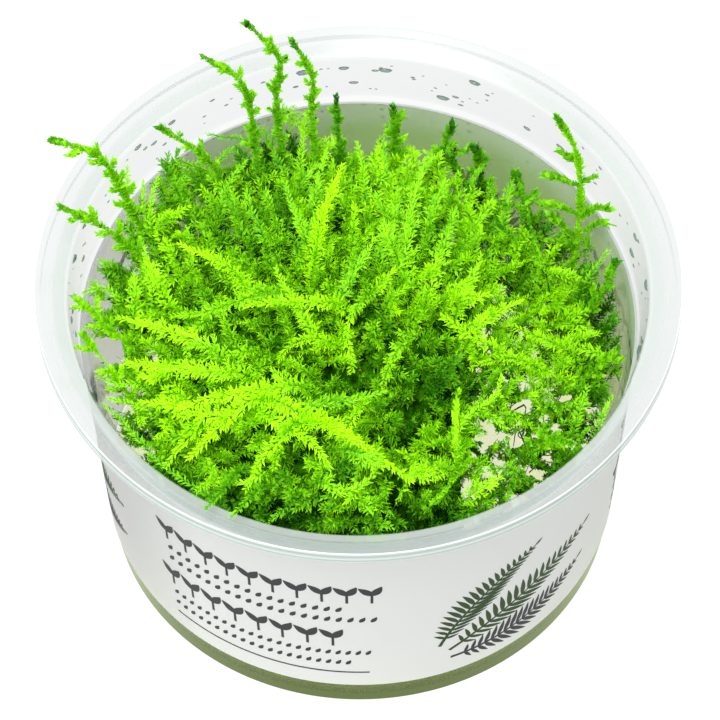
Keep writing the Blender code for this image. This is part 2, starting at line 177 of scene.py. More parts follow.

# Feathery strands that lie over the top: the route, how light its green is, leaf length and branch length
FEATHERY_STRANDS = [
    ([(-14.7, -20.8, 55.7), (-17.6, -22.1, 55.2), (-19.9, -24.5, 54.4), (-22.4, -26.9, 53.5),
      (-24.9, -29.1, 52.5)], 0.98, 1.4, 1.6),
    ([(-14.1, -22.8, 55.0), (-10.8, -25.4, 54.7), (-8.0, -26.9, 54.5), (-6.1, -28.9, 54.1),
      (-4.4, -31.7, 53.5)], 0.97, 1.5, 1.4),
    ([(-12.9, -21.8, 56.7), (-8.6, -23.8, 56.4), (-3.6, -26.0, 56.2), (-1.2, -28.3, 55.7),
      (2.8, -31.0, 55.0), (7.4, -34.2, 53.6)], 1.0, 1.5, 1.9),
    ([(-10.1, -25.5, 54.8), (-12.3, -28.0, 54.2), (-14.2, -30.1, 53.5), (-15.5, -32.2, 52.8),
      (-16.5, -34.3, 52.1)], 0.97, 1.3, 1.6),
    ([(-14.2, -32.1, 52.9), (-15.9, -33.2, 52.4), (-18.0, -33.2, 52.2)], 0.9, 1.2, 0.8),
    ([(-8.6, -19.3, 56.4), (-12.9, -19.7, 56.6), (-17.3, -20.1, 56.1), (-22.4, -20.6, 55.1),
      (-26.3, -21.3, 54.1)], 0.97, 1.4, 2.2),
    ([(-8.6, -22.2, 54.6), (-5.0, -20.7, 54.0), (-0.7, -19.5, 53.2), (3.7, -17.5, 52.1)], 0.76, 1.3, 1.6),
    ([(0.3, -21.6, 54.7), (-1.4, -25.0, 55.4), (-3.2, -28.1, 55.4)], 0.92, 1.3, 1.2),
    ([(-5.6, -32.9, 52.2), (-3.0, -34.8, 52.2), (-0.1, -34.4, 52.6), (2.5, -32.0, 53.3)], 0.84, 1.3, 1.6),
    ([(-17.3, -16.4, 56.0), (-21.7, -16.0, 55.6), (-27.5, -14.6, 54.7),
      (-33.6, -12.7, 53.6)], 0.92, 1.35, 2.4),
    ([(-20.9, -12.8, 56.0), (-25.3, -10.0, 55.7), (-30.4, -7.2, 55.0), (-35.2, -5.3, 54.2)], 0.92, 1.35, 2.4),
    ([(-18.8, -23.4, 53.9), (-23.1, -22.3, 53.7), (-28.2, -20.1, 53.2),
      (-31.9, -19.1, 52.8)], 0.88, 1.3, 2.2),
    ([(-22.4, -6.8, 55.1), (-24.3, -8.7, 54.7), (-25.0, -11.3, 54.4), (-24.6, -14.0, 54.3)], 0.82, 1.3, 0.9),
    ([(-23.2, -23.6, 52.3), (-26.1, -26.2, 51.3), (-28.3, -29.1, 50.4)], 0.84, 1.2, 1.2),
    ([(-20.6, -32.2, 50.0), (-21.3, -30.9, 51.2), (-21.7, -29.3, 52.5)], 0.62, 1.3, 0.9),
    ([(-4.2, -8.7, 52.3), (-7.1, -9.0, 53.8), (-10.0, -11.1, 54.9), (-11.8, -14.0, 55.5)], 0.88, 1.25, 1.6),
    ([(-3.4, -4.1, 55.4), (-7.8, -4.3, 56.1), (-12.2, -4.5, 56.6), (-16.5, -5.0, 56.4)], 0.95, 1.3, 1.8),
    ([(-12.2, -2.1, 56.3), (-17.3, -3.7, 56.1), (-22.4, -5.3, 55.5), (-27.2, -5.5, 54.9)], 0.82, 1.3, 2.2),
    ([(-30.2, -0.1, 53.9), (-31.1, 3.5, 54.4), (-31.3, 7.0, 55.0)], 0.74, 1.1, 0.8),
    ([(-2.0, -6.8, 52.0), (-1.7, -8.5, 51.2), (-1.0, -10.4, 50.5), (-1.1, -13.2, 50.6)], 0.82, 1.2, 1.5),
    ([(6.3, -9.7, 52.8), (4.8, -11.9, 52.1), (3.9, -14.3, 52.0), (3.3, -17.3, 52.5)], 0.84, 1.2, 1.6),
    ([(1.1, -2.5, 54.6), (-1.0, -4.9, 53.7), (-2.0, -7.6, 52.4)], 0.72, 1.2, 1.5),
    ([(6.8, 3.4, 54.6), (7.4, 8.0, 55.4), (8.2, 13.3, 55.9), (9.7, 20.3, 54.6)], 0.7, 1.25, 2.3),
    ([(3.3, 4.8, 55.0), (4.5, 9.2, 55.6), (5.6, 12.4, 56.1), (6.1, 16.2, 56.1)], 0.64, 1.2, 2.2),
    ([(-2.7, -2.7, 54.4), (-0.9, 0.5, 56.1), (1.1, 3.4, 57.1), (2.7, 6.5, 57.2)], 0.62, 1.2, 2.1),
    ([(-6.8, -7.4, 53.1), (-8.5, -5.0, 55.2), (-10.6, -2.3, 56.6), (-12.0, 1.0, 57.4)], 0.8, 1.25, 1.8),
    ([(10.5, 0.5, 53.4), (12.1, 5.7, 53.7), (13.6, 10.3, 53.7), (14.6, 14.2, 53.6)], 0.66, 1.2, 2.3),
    ([(14.9, -1.8, 52.3), (16.9, 2.4, 52.3), (18.1, 6.6, 52.2)], 0.66, 1.2, 2.1),
    ([(-7.9, 8.5, 55.5), (-9.6, 12.8, 56.6), (-10.5, 16.4, 57.2)], 0.68, 1.15, 1.4),
    ([(-13.8, 8.1, 55.1), (-15.5, 12.1, 56.2), (-16.4, 15.6, 56.9)], 0.66, 1.15, 1.4),
    ([(-6.5, 14.3, 55.0), (-5.4, 19.1, 55.4), (-4.5, 24.0, 55.2)], 0.68, 1.15, 1.4),
    ([(-10.8, 22.9, 51.4), (-12.6, 26.9, 51.5), (-13.8, 30.4, 52.2)], 0.52, 1.1, 1.3),
    ([(-8.4, 23.7, 51.2), (-8.0, 28.0, 51.9), (-7.5, 31.3, 53.5)], 0.76, 1.1, 1.2),
    ([(-12.6, 29.9, 49.4), (-11.8, 32.5, 50.9), (-10.9, 34.4, 52.6)], 0.74, 0.9, 0.6),
    ([(1.2, 16.8, 54.4), (0.9, 21.6, 54.4), (0.1, 26.0, 54.4)], 0.62, 1.1, 1.2),
    ([(4.3, 20.0, 52.9), (4.2, 23.4, 53.4), (4.0, 27.4, 53.7)], 0.42, 1.0, 0.9),
    ([(9.1, 19.8, 51.9), (10.2, 23.2, 51.5), (12.8, 27.0, 50.3)], 0.55, 1.1, 1.1),
    ([(-20.0, 15.4, 53.5), (-18.8, 19.5, 53.6), (-16.4, 23.6, 53.5)], 0.6, 1.1, 1.2),
    ([(-21.5, 23.3, 51.0), (-19.2, 27.2, 50.7), (-15.9, 28.8, 51.5)], 0.5, 1.0, 0.9),
    ([(20.6, -9.2, 49.9), (17.7, -8.5, 51.8), (14.4, -7.1, 53.7), (12.0, -6.3, 55.1)], 0.92, 1.3, 2.0),
    ([(30.4, -5.8, 45.4), (26.3, -5.0, 47.8), (21.9, -4.9, 50.7)], 0.88, 1.25, 1.8),
    ([(25.8, -10.0, 47.3), (22.4, -9.8, 49.2), (19.1, -11.3, 50.6), (16.2, -13.0, 51.2)], 0.86, 1.25, 1.6),
    ([(36.4, -6.0, 43.4), (31.8, -5.0, 45.1), (27.3, -5.9, 47.3)], 0.8, 1.2, 1.6),
    ([(17.5, -5.9, 51.9), (20.8, -2.3, 50.6), (24.1, 0.7, 49.0)], 0.84, 1.2, 1.6),
    ([(13.8, -22.8, 49.2), (16.0, -19.9, 49.3), (18.2, -18.4, 49.7), (20.0, -16.3, 49.9),
      (20.8, -13.7, 50.2)], 0.86, 1.1, 0.9),
    ([(23.2, -27.8, 45.3), (21.0, -27.6, 46.9), (18.5, -28.9, 48.4)], 0.5, 1.3, 1.6),
    ([(29.2, -22.5, 43.3), (27.4, -22.4, 44.7), (25.6, -24.1, 45.8)], 0.5, 1.2, 1.2),
    ([(31.5, -17.6, 43.0), (32.7, -14.5, 43.9), (33.5, -11.9, 44.8)], 0.6, 1.1, 1.2),
    ([(34.9, -17.4, 41.8), (36.0, -14.9, 42.8), (37.9, -13.1, 43.5)], 0.62, 1.1, 1.1),
    ([(-35.0, -0.4, 51.9), (-37.3, 1.5, 52.3), (-40.4, 0.7, 52.5)], 0.7, 1.0, 0.7),
    ([(-33.6, 13.2, 53.5), (-33.9, 16.4, 54.6), (-34.1, 22.1, 54.2)], 0.74, 1.05, 0.5),
    ([(-30.9, 11.9, 53.3), (-31.5, 14.5, 54.7), (-31.6, 18.4, 55.4)], 0.74, 1.05, 0.6),
    ([(-30.3, 11.8, 53.4), (-30.5, 15.2, 54.3), (-29.5, 20.0, 54.1)], 0.76, 1.05, 0.6),
    ([(-19.1, 16.5, 54.3), (-22.6, 23.5, 51.7), (-26.0, 23.7, 52.1), (-26.9, 24.7, 52.5)], 0.46, 0.95, 0.6),
    ([(-14.1, 24.9, 52.2), (-16.5, 28.5, 51.9), (-19.6, 28.4, 52.8), (-22.4, 28.3, 53.8)], 0.42, 0.9, 0.4),
    ([(-31.6, -14.1, 53.0), (-34.0, -12.2, 52.8), (-36.3, -10.2, 52.6)], 0.8, 1.0, 0.5),
    ([(-31.9, -16.0, 52.7), (-35.1, -15.5, 52.0), (-38.2, -13.6, 51.4)], 0.62, 0.9, 0.6),
    ([(-30.5, -19.8, 51.6), (-33.4, -18.6, 51.3), (-36.5, -17.2, 51.0)], 0.6, 1.0, 0.6),
    ([(-30.5, -25.9, 49.6), (-33.7, -21.9, 50.0), (-37.2, -17.8, 50.3)], 0.4, 1.0, 0.6),
    ([(-21.5, -34.0, 49.6), (-26.1, -30.7, 50.0), (-30.5, -26.8, 50.4)], 0.42, 1.0, 0.6),
    ([(21.9, 16.1, 48.3), (22.5, 20.6, 47.8), (23.8, 26.8, 45.8)], 0.5, 1.2, 1.1),
    ([(20.8, 17.0, 48.7), (20.4, 19.4, 48.9), (19.7, 21.8, 49.2)], 0.32, 0.9, 0.3),
    ([(-17.5, -30.0, 50.5), (-20.5, -37.0, 54.6), (-22.3, -40.3, 56.0)], 0.5, 1.3, 1.6),
    ([(-14.0, -33.0, 51.0), (-17.0, -39.0, 55.0), (-18.6, -41.6, 56.0)], 0.55, 1.3, 1.6),
    ([(-9.0, -35.0, 51.0), (-11.5, -39.8, 54.6), (-13.2, -42.3, 55.9)], 0.5, 1.2, 1.3),
    ([(35.2, 5.0, 42.7), (36.8, 7.1, 43.2), (38.5, 9.3, 43.7)], 0.5, 1.0, 0.8),
    ([(33.7, 7.5, 43.1), (36.0, 11.2, 43.7), (38.7, 13.3, 44.2)], 0.5, 1.0, 0.8),
]

# Smooth strands with close leaves: the route, how light its green is, and the width of the shoot
SMOOTH_STRANDS = [
    ([(14.1, -27.0, 50.3), (13.9, -23.2, 49.8), (14.0, -19.7, 49.9), (14.5, -16.7, 51.2)], 0.86, 0.95),
    ([(15.9, -27.8, 49.4), (13.8, -30.9, 50.4), (12.4, -33.6, 50.8), (10.8, -36.0, 51.1)], 0.72, 0.9),
    ([(27.8, 7.1, 46.5), (26.4, 11.2, 47.9), (25.4, 16.3, 48.5), (24.8, 17.8, 49.2)], 0.26, 0.6),
    ([(25.0, 16.7, 49.5), (23.4, 17.4, 50.1), (21.4, 15.9, 51.6)], 0.5, 0.6),
    ([(24.8, 17.0, 49.6), (25.7, 19.1, 48.7), (26.9, 20.5, 48.0)], 0.48, 0.6),
    ([(27.1, 8.0, 46.9), (24.8, 10.5, 48.5), (22.6, 11.8, 50.2), (20.8, 12.5, 51.8)], 0.34, 0.8),
    ([(17.1, 19.8, 48.5), (15.8, 23.0, 48.7), (14.4, 26.1, 48.9), (14.0, 27.5, 49.6)], 0.3, 0.75),
    ([(14.2, 26.6, 49.8), (13.5, 28.3, 49.5), (12.9, 27.6, 50.0)], 0.42, 0.8),
    ([(14.3, 27.4, 49.5), (15.8, 27.8, 49.1), (17.0, 29.9, 48.3)], 0.46, 0.8),
    ([(16.8, 21.9, 48.6), (18.1, 25.3, 47.4), (19.4, 28.1, 46.7)], 0.48, 0.85),
]

# Gaps in the moss, where the wall or the gel shows: x, y, z of each, and half its width and height
GAPS = (
    (23.9, -16.7, 46.6, 1.8, 1.1),
    (19.0, -22.9, 47.5, 1.8, 0.9),
    (22.8, -23.1, 46.2, 1.3, 0.8),
    (30.3, -13.4, 44.0, 1.5, 0.8),
    (28.7, -18.8, 44.1, 1.0, 0.8),
    (30.5, -21.1, 43.0, 1.1, 0.8),
    (24.8, -26.7, 44.7, 0.8, 1.1),
    (26.9, -18.0, 45.0, 0.8, 0.5),
    (17.6, -12.1, 49.6, 1.0, 0.5),
    (27.6, -24.2, 43.8, 0.8, 0.6),
    (19.2, -8.8, 49.7, 0.6, 0.5),
    (38.2, -9.7, 41.7, 0.9, 1.8),
    (-25.6, 13.4, 53.1, 0.5, 0.4),
    (-23.8, 10.4, 53.7, 0.5, 0.4),
    (-20.1, 10.7, 54.2, 0.4, 0.4),
    (-29.0, 10.0, 52.8, 0.4, 0.6),
    (-26.5, 5.9, 53.5, 0.4, 0.4),
    (-27.5, 3.1, 53.4, 0.5, 0.4),
    (18.7, 10.0, 50.1, 0.9, 0.8),
    (22.2, 8.8, 48.3, 0.7, 0.6),
    (28.3, 2.6, 45.4, 0.7, 0.5),
    (25.0, 0.8, 47.1, 0.6, 0.5),
    (26.7, -0.4, 46.2, 0.7, 0.5),
    (14.3, 20.5, 49.5, 0.5, 0.7),
    (15.7, 18.6, 49.6, 0.5, 0.5),
    (-36.4, -9.2, 51.2, 2.0, 2.4),
    (-34.6, -18.9, 50.8, 1.6, 0.7),
    (-29.4, -23.1, 51.2, 1.0, 0.6),
)

# The gaps lie along a line of sight that falls at this slope, and end this far in front of their middle
GAP_SLOPE = math.radians(55.3)
GAP_FRONT = 6.0

# The first rows of the gaps are in the loose patch at the front right
LOOSE_GAPS = 11

# Where fronds fill the gap along the wall: from and to in degrees, nearest and farthest from the axis, lowest
# and highest tip, how light their green is, and their share of the count
EDGE_ARCS = (
    (-32, 34, 34.0, 38.8, 37.0, 45.0, 0.46, 1.0),
    (98, 132, 27.0, 34.0, 45.0, 51.5, 0.42, 0.7),
    (132, 172, 32.0, 38.5, 47.0, 53.0, 0.52, 0.9),
    (172, 206, 35.0, 39.4, 46.0, 53.0, 0.60, 0.4),
)

# Where the moss is drawn lighter or darker than around it: x, y, how far it reaches, and the change in tone
PATCHES = (
    (-14, -21, 10, 0.22),
    (-27, -8, 9, 0.14),
    (-2, -28, 7, 0.10),
    (17, -6, 9, 0.22),
    (-5, -19, 4.5, -0.34),
    (-5, -32, 3.5, -0.22),
    (10.8, -10.5, 3.5, -0.20),
    (-15.5, 11, 4.5, -0.28),
    (-10, 17.5, 4.5, -0.26),
    (-20.8, -13, 4, -0.16),
    (37, 4.5, 4, -0.20),
    (28, 6.5, 6, 0.24),
    (10.8, -24.5, 4, 0.24),
    (8, 15, 8, 0.14),
    (-4, 8, 6, 0.08),
    (-1, -14, 5, -0.20),
    (9, -18, 6, -0.42),
    (-20, -9, 4.5, -0.34),
    (-20, -34, 6, -0.12),
    (12, -33, 7, -0.15),
    (26, 12, 8, -0.04),
    (-4, -1, 3, -0.30),
    (-24, 9, 5, -0.16),
    (-12, 26, 5, -0.14),
    (34, 6, 6, -0.14),
    (-2, -31, 2.5, -0.40),
    (-10.5, -34.5, 2.8, -0.50),
    (13, -13.5, 3.5, -0.35),
    (1, -4, 3, -0.25),
    (-30, -28, 4, -0.20),
    (25, 3, 9, 0.26),
    (10.5, -1, 5, 0.34),
    (-3, -7, 6, 0.40),
    (-27, -24, 6, 0.34),
    (-31, -14, 6, 0.15),
    (-26, 19, 5, 0.20),
    (2, -25.5, 5, 0.34),
    (-8, -19, 4, -0.20),
    (10.8, 12.5, 5, -0.24),
    (30, 14, 6, 0.15),
)

# Where the moss is loose, so that light shows between its shoots: x, y and how far it reaches
LOOSE_PATCHES = ((27, -21, 9.5), (22, -25, 4.5), (-38, -9, 6), (24, 8, 4.5), (32, -10, 5))

# Leaves stand round a shoot at these turns, in degrees from its side. Flat shoots have none underneath
FLAT_RANKS = (0, 150, 90, 180, 30)
ROUND_RANKS = (0, 144, 288, 72, 216)

# Layers of fronds over the clump, from the deepest up: how many, how far under the top, shortest and longest,
# lowest and highest tip, darkest and lightest green, how thin in the loose patches, leaf spacing, and first
# turn
# The deeper layers are darker: painted shade, and partly older moss
FILL_LAYERS = (
    (330, 4.0, (6, 9), (-1, 1), (0.45, 0.66), 0.9, 0.15, 3),
    (420, 1.4, (6, 9), (-1, 1.5), (0.56, 0.80), 0.75, 0.145, 1),
    (330, 0.0, (7, 11), (0, 3), (0.62, 0.88), 0.55, 0.14, 0),
)

# Leaf and branch lengths of the fronds, and how much of each frond is bare at its foot
LEAF = 1.5
BRANCH = 2.6
BARE = 0.1

# Fronds down the sides, along each arc of the edge, and old stems and thin shoots in the loose patch
SIDE_FRONDS = 330
EDGE_FRONDS = 60
OLD_STEMS = 150

# How far from the axis a route may reach at each height
REACH_LIMITS = ((0, 36.9), (SHOULDER_HEIGHT, 40.0), (46, 41.4), (53, 42.7), (58, 46), (70, 60))

# The golden angle, by which each frond is turned on from the last
GOLDEN_ANGLE = math.pi * (3 - math.sqrt(5))

# Spacing of leaves along a flat and a round shoot, and of the points on a shoot's route
FLAT_PITCH = 0.14
ROUND_PITCH = 0.1
ROUTE_SPACING = 0.4

# Leaves in one mesh: four triangles each, so under 200,000 triangles
LEAVES_IN_MESH = 47000


def srgb(code):
    """A hex colour as linear red, green, blue and alpha."""
    parts = [int(code[k : k + 2], 16) / 255 for k in (1, 3, 5)]
    return (*[p / 12.92 if p <= 0.04045 else ((p + 0.055) / 1.055) ** 2.4 for p in parts], 1.0)


def add(tree, kind, inputs=None, stops=None, **settings):
    """Adds a node. Inputs maps a socket to what feeds it: a node, an output or a plain value."""
    node = tree.nodes.new(kind)
    for name, value in settings.items():
        setattr(node, name, value)
    for name, source in (inputs or {}).items():
        if isinstance(source, bpy.types.Node):
            tree.links.new(source.outputs[0], node.inputs[name])
        elif isinstance(source, bpy.types.NodeSocket):
            tree.links.new(source, node.inputs[name])
        else:
            node.inputs[name].default_value = source
    for number, (position, code) in enumerate(stops or []):
        if number >= len(node.color_ramp.elements):
            node.color_ramp.elements.new(1.0)
        node.color_ramp.elements[number].position = position
        node.color_ramp.elements[number].color = srgb(code)
    return node


def new_material(name):
    made = bpy.data.materials.new(name)
    made.use_nodes = True
    made.node_tree.nodes.clear()
    return made, made.node_tree


def moss_leaf():
    """Living moss leaf, one cell thick: wet, faintly glossy, and yellow-green where light comes through."""
    made, tree = new_material("living_moss_leaf")
    tone = add(tree, "ShaderNodeAttribute", attribute_name="tone").outputs["Fac"]
    face_stops = [
        (0.0, "#5A3A12"),
        (0.10, "#3A3E08"),
        (0.20, "#225E04"),
        (0.36, "#4C9E12"),
        (0.54, "#7FCC1C"),
        (0.74, "#A4E41E"),
        (1.0, "#BEF610"),
    ]
    glow_stops = [
        (0.0, "#6E4A18"),
        (0.10, "#54600A"),
        (0.20, "#3E8C06"),
        (0.36, "#73C614"),
        (0.54, "#A2E61E"),
        (0.74, "#C2F622"),
        (1.0, "#DAFE1C"),
    ]
    face = add(tree, "ShaderNodeValToRGB", {"Fac": tone}, face_stops)
    wet = {"Base Color": face, "Roughness": 0.5, "IOR": 1.4, "Specular IOR Level": 0.2}
    skin = add(tree, "ShaderNodeBsdfPrincipled", wet)
    through = add(tree, "ShaderNodeValToRGB", {"Fac": tone}, glow_stops)
    glow = add(tree, "ShaderNodeBsdfTranslucent", {"Color": through})
    leaf = add(tree, "ShaderNodeMixShader", {0: 0.45, 1: skin, 2: glow})
    add(tree, "ShaderNodeOutputMaterial", {"Surface": leaf})
    return made


def old_moss():
    """Old moss packed in the clump's middle: dull brown-green clots over a millimetre wide, dark as painted
    shade.
    """
    made, tree = new_material("old_packed_moss_painted_shade")
    place = add(tree, "ShaderNodeTexCoord").outputs["Object"]
    # 0.7 clots to the millimetre
    clots = add(tree, "ShaderNodeTexNoise", {"Vector": place, "Scale": 0.7 / MM, "Detail": 4.0})
    # Dark greens and browns: painted shade inside the mass
    stops = [(0.35, "#0E2602"), (0.5, "#1F5003"), (0.6, "#2F7004"), (0.72, "#3E4E08")]
    colour = add(tree, "ShaderNodeValToRGB", {"Fac": clots}, stops)
    skin = add(tree, "ShaderNodeBsdfDiffuse", {"Color": colour})
    add(tree, "ShaderNodeOutputMaterial", {"Surface": skin})
    return made


def clear_polypropylene():
    """Injection-moulded natural polypropylene: clear face on, milky where it is thick, with soft highlights.

    The inner wall is clear, the flange frosted, and the outer side of the neck milky. The grey and sage bands
    on the neck, skirt and inner lip are painted shade, with the moss behind painted in. The foot's olive haze,
    tint and gloss are the gel seen through it, painted in as a painted reflection.
    """
    made, tree = new_material("clear_polypropylene")
    place = add(tree, "ShaderNodeTexCoord").outputs["Object"]
    height = add(tree, "ShaderNodeSeparateXYZ", {"Vector": place}).outputs["Z"]
    flat = add(tree, "ShaderNodeVectorMath", {0: place, 1: (1.0, 1.0, 0.0)}, operation="MULTIPLY")
    radial = add(tree, "ShaderNodeVectorMath", {0: flat}, operation="NORMALIZE")
    surface = add(tree, "ShaderNodeNewGeometry")
    facing = {0: surface.outputs["Normal"], 1: radial}
    outwards = add(tree, "ShaderNodeVectorMath", facing, operation="DOT_PRODUCT").outputs["Value"]

    # Which side a spot is on and how high, as shares from 0 to 1
    zone = {"edge": add(tree, "ShaderNodeLayerWeight", {"Blend": 0.5}).outputs["Facing"]}
    for name, source, low, high in (
        ("outer", outwards, 0.2, 0.5),
        ("inner", outwards, -0.55, -0.75),
        ("raised", height, 52.2 * MM, 52.6 * MM),
        ("above_label", height, 44.0 * MM, 44.6 * MM),
        ("foot", height, 0.0, 8.0 * MM),
        ("neck", height, 44.0 * MM, 55.0 * MM),
    ):
        zone[name] = add(tree, "ShaderNodeMapRange", {"Value": source, "From Min": low, "From Max": high})

    # Milk is how clouded the plastic is, haze the clouds' colour with painted shade and the moss and gel
    # behind painted in, and tint what it does to light through it
    shade = {"bright": srgb("#F4F6F6"), "plain": srgb("#EDEFEF"), "dim": srgb("#E8EAE9")}
    for name, source, stops in (
        ("milk_inner", "edge", [(0.0, "#181818"), (0.45, "#303030"), (0.75, "#484848"), (1.0, "#6A6A6A")]),
        ("milk_flange", "neck", [(0.8, "#E4E4E4"), (0.885, "#DCDCDC"), (0.912, "#9C9C9C"), (1.0, "#A0A0A0")]),
        ("milk_wall", "edge", [(0.0, "#303030"), (0.45, "#4C4C4C"), (0.75, "#606060"), (1.0, "#808080")]),
        ("milk_neck", "edge", [(0.0, "#D8D8D8"), (1.0, "#E8E8E8")]),
        # The dark band at the inner lip's edge is a painted line of shade, and the green in the grey is the
        # moss behind, painted in
        ("flange_haze_painted_line", "neck", [(0.79, "#F2F5F5"), (0.81, "#94A8A0"), (0.83, "#C8D0CC"), (0.98, "#CACECD")]),
        # The foot's olive is the gel seen through it, painted in
        ("foot_haze_painted_gel", "foot", [(0.0, "#5A661A"), (0.4, "#5E6C20"), (0.66, "#7C8A4A"), (0.72, "#E6EAEA")]),
        # The sage band and the dark rings on the neck and skirt are painted shade, with the moss behind
        # painted in
        ("neck_haze_painted_shade", "neck", [
            (0.0, "#DCE4E0"),
            (0.25, "#E6EEEA"),
            (0.32, "#A9BDB5"),
            (0.65, "#A9BDB5"),
            (0.72, "#E0EAE6"),
            (0.765, "#82948C"),
            (0.80, "#DCE4E0"),
            (0.83, "#98A8A0"),
            (0.86, "#DCE4E0"),
            (0.925, "#9CACA4"),
            (0.965, "#CCD6D2"),
            (0.985, "#FCFEFE"),
        ]),
        # Light through the foot is painted olive, as if it passed through the gel
        ("foot_tint_painted_gel", "foot", [(0.0, "#4A5A08"), (0.4, "#50600A"), (0.66, "#6E7E2E"), (0.72, "#E6E8E8")]),
        # The gloss at the foot is painted gel-green: a painted reflection
        ("sheen_with_painted_gel", "foot", [(0.0, "#DDE9C9"), (0.66, "#DDE9C9"), (0.72, "#E8ECEE")]),
    ):
        shade[name] = add(tree, "ShaderNodeValToRGB", {"Fac": zone[source]}, stops)
    for name, share, first, second in (
        ("milk_lip", "inner", "milk_flange", "milk_inner"),
        ("milk_inside", "raised", "milk_inner", "milk_lip"),
        ("milk_outside", "above_label", "milk_wall", "milk_neck"),
        ("milk", "outer", "milk_inside", "milk_outside"),
        ("haze_lip", "inner", "flange_haze_painted_line", "bright"),
        ("haze_inside", "raised", "bright", "haze_lip"),
        ("haze_outside", "above_label", "foot_haze_painted_gel", "neck_haze_painted_shade"),
        ("haze", "outer", "haze_inside", "haze_outside"),
        ("tint_lip", "raised", "bright", "plain"),
        ("tint_inside", "inner", "tint_lip", "dim"),
        ("tint", "outer", "tint_inside", "foot_tint_painted_gel"),
    ):
        inputs = {0: zone[share], 6: shade[first], 7: shade[second]}
        shade[name] = add(tree, "ShaderNodeMix", inputs, data_type="RGBA").outputs[2]

    clear = add(tree, "ShaderNodeBsdfTransparent", {"Color": shade["tint"]})
    front = add(tree, "ShaderNodeBsdfDiffuse", {"Color": shade["haze"]})
    through = add(tree, "ShaderNodeBsdfTranslucent", {"Color": shade["haze"]})
    depth = add(tree, "ShaderNodeMapRange", {"Value": zone["outer"], "To Min": 0.65, "To Max": 0.2})
    clouded = add(tree, "ShaderNodeMixShader", {0: depth, 1: front, 2: through})
    body = add(tree, "ShaderNodeMixShader", {0: shade["milk"], 1: clear, 2: clouded})
    gloss = add(tree, "ShaderNodeBsdfGlossy", {"Color": shade["sheen_with_painted_gel"], "Roughness": 0.18})
    shine = add(tree, "ShaderNodeFresnel", {"IOR": 1.49})
    shown = add(tree, "ShaderNodeMixShader", {0: shine, 1: body, 2: gloss})
    far_side = add(tree, "ShaderNodeBsdfTransparent", {"Color": srgb("#FFFFFF")})
    whole = add(tree, "ShaderNodeMixShader", {0: surface.outputs["Backfacing"], 1: shown, 2: far_side})
    add(tree, "ShaderNodeOutputMaterial", {"Surface": whole})
    return made


def label_front():
    """White polypropylene film with a satin coat: smooth, and light comes through where it is one layer."""
    made, tree = new_material("white_label_film")
    place = add(tree, "ShaderNodeTexCoord").outputs["Object"]
    across = add(tree, "ShaderNodeSeparateXYZ", {"Vector": place}).outputs["X"]
    ends = {"From Min": LIT_LEFT_FROM * MM, "From Max": LIT_LEFT_TO * MM, "To Min": 0.38, "To Max": 0.6}
    thin = add(tree, "ShaderNodeMapRange", {"Value": across} | ends)
    satin = {"Base Color": srgb("#F3F2F5"), "Roughness": 0.42, "IOR": 1.49, "Specular IOR Level": 0.25}
    skin = add(tree, "ShaderNodeBsdfPrincipled", satin)
    glow = add(tree, "ShaderNodeBsdfTranslucent", {"Color": srgb("#FFFAFF")})
    film = add(tree, "ShaderNodeMixShader", {0: thin, 1: skin, 2: glow})
    add(tree, "ShaderNodeOutputMaterial", {"Surface": film})
    return made


def label_back():
    """The film's clear glue, seen through the wet wall and beaded: sage as painted shade with painted green
    light from the moss, and painted near-white at the left as painted light.
    """
    made, tree = new_material("glued_side_of_label")
    place = add(tree, "ShaderNodeTexCoord").outputs["Object"]
    apart = add(tree, "ShaderNodeSeparateXYZ", {"Vector": place})
    share = {}
    for name, axis, low, high in (
        ("up", "Z", 30.0, 44.5),
        ("near_top", "Z", 38.5, 43.0),
        ("lit_left", "X", LIT_LEFT_FROM, LIT_LEFT_TO),
    ):
        ends = {"Value": apart.outputs[axis], "From Min": low * MM, "From Max": high * MM}
        share[name] = add(tree, "ShaderNodeMapRange", ends)
    # The sage, paler towards the top, is painted shade with painted green light bounced from the moss
    sage_painted_shade_stops = [(0.0, "#CDEBA0"), (0.55, "#CBEAA2"), (0.85, "#CDEAB4"), (1.0, "#D6F2D2")]
    sage_painted_shade = add(tree, "ShaderNodeValToRGB", {"Fac": share["up"]}, sage_painted_shade_stops)
    # Beads a little under two millimetres apart, drawn as darker spots of painted shade
    beads = add(tree, "ShaderNodeTexVoronoi", {"Vector": place, "Scale": 0.52 / MM})
    bead_stops = [(0.0, "#B4D0A2"), (0.16, "#BFD8AC"), (0.24, "#DEF0CA")]
    beaded = add(tree, "ShaderNodeValToRGB", {"Fac": beads.outputs["Distance"]}, bead_stops)
    wet = add(tree, "ShaderNodeMix", {0: share["near_top"], 6: sage_painted_shade, 7: beaded}, data_type="RGBA").outputs[2]
    # Near-white at the left: painted light
    ends = {0: share["lit_left"], 6: wet, 7: srgb("#FBFFF6")}
    colour = add(tree, "ShaderNodeMix", ends, data_type="RGBA").outputs[2]
    skin = add(tree, "ShaderNodeBsdfDiffuse", {"Color": colour})
    clear = add(tree, "ShaderNodeBsdfTransparent", {"Color": colour})
    glue = add(tree, "ShaderNodeMixShader", {0: 0.82, 1: skin, 2: clear})
    add(tree, "ShaderNodeOutputMaterial", {"Surface": glue})
    return made


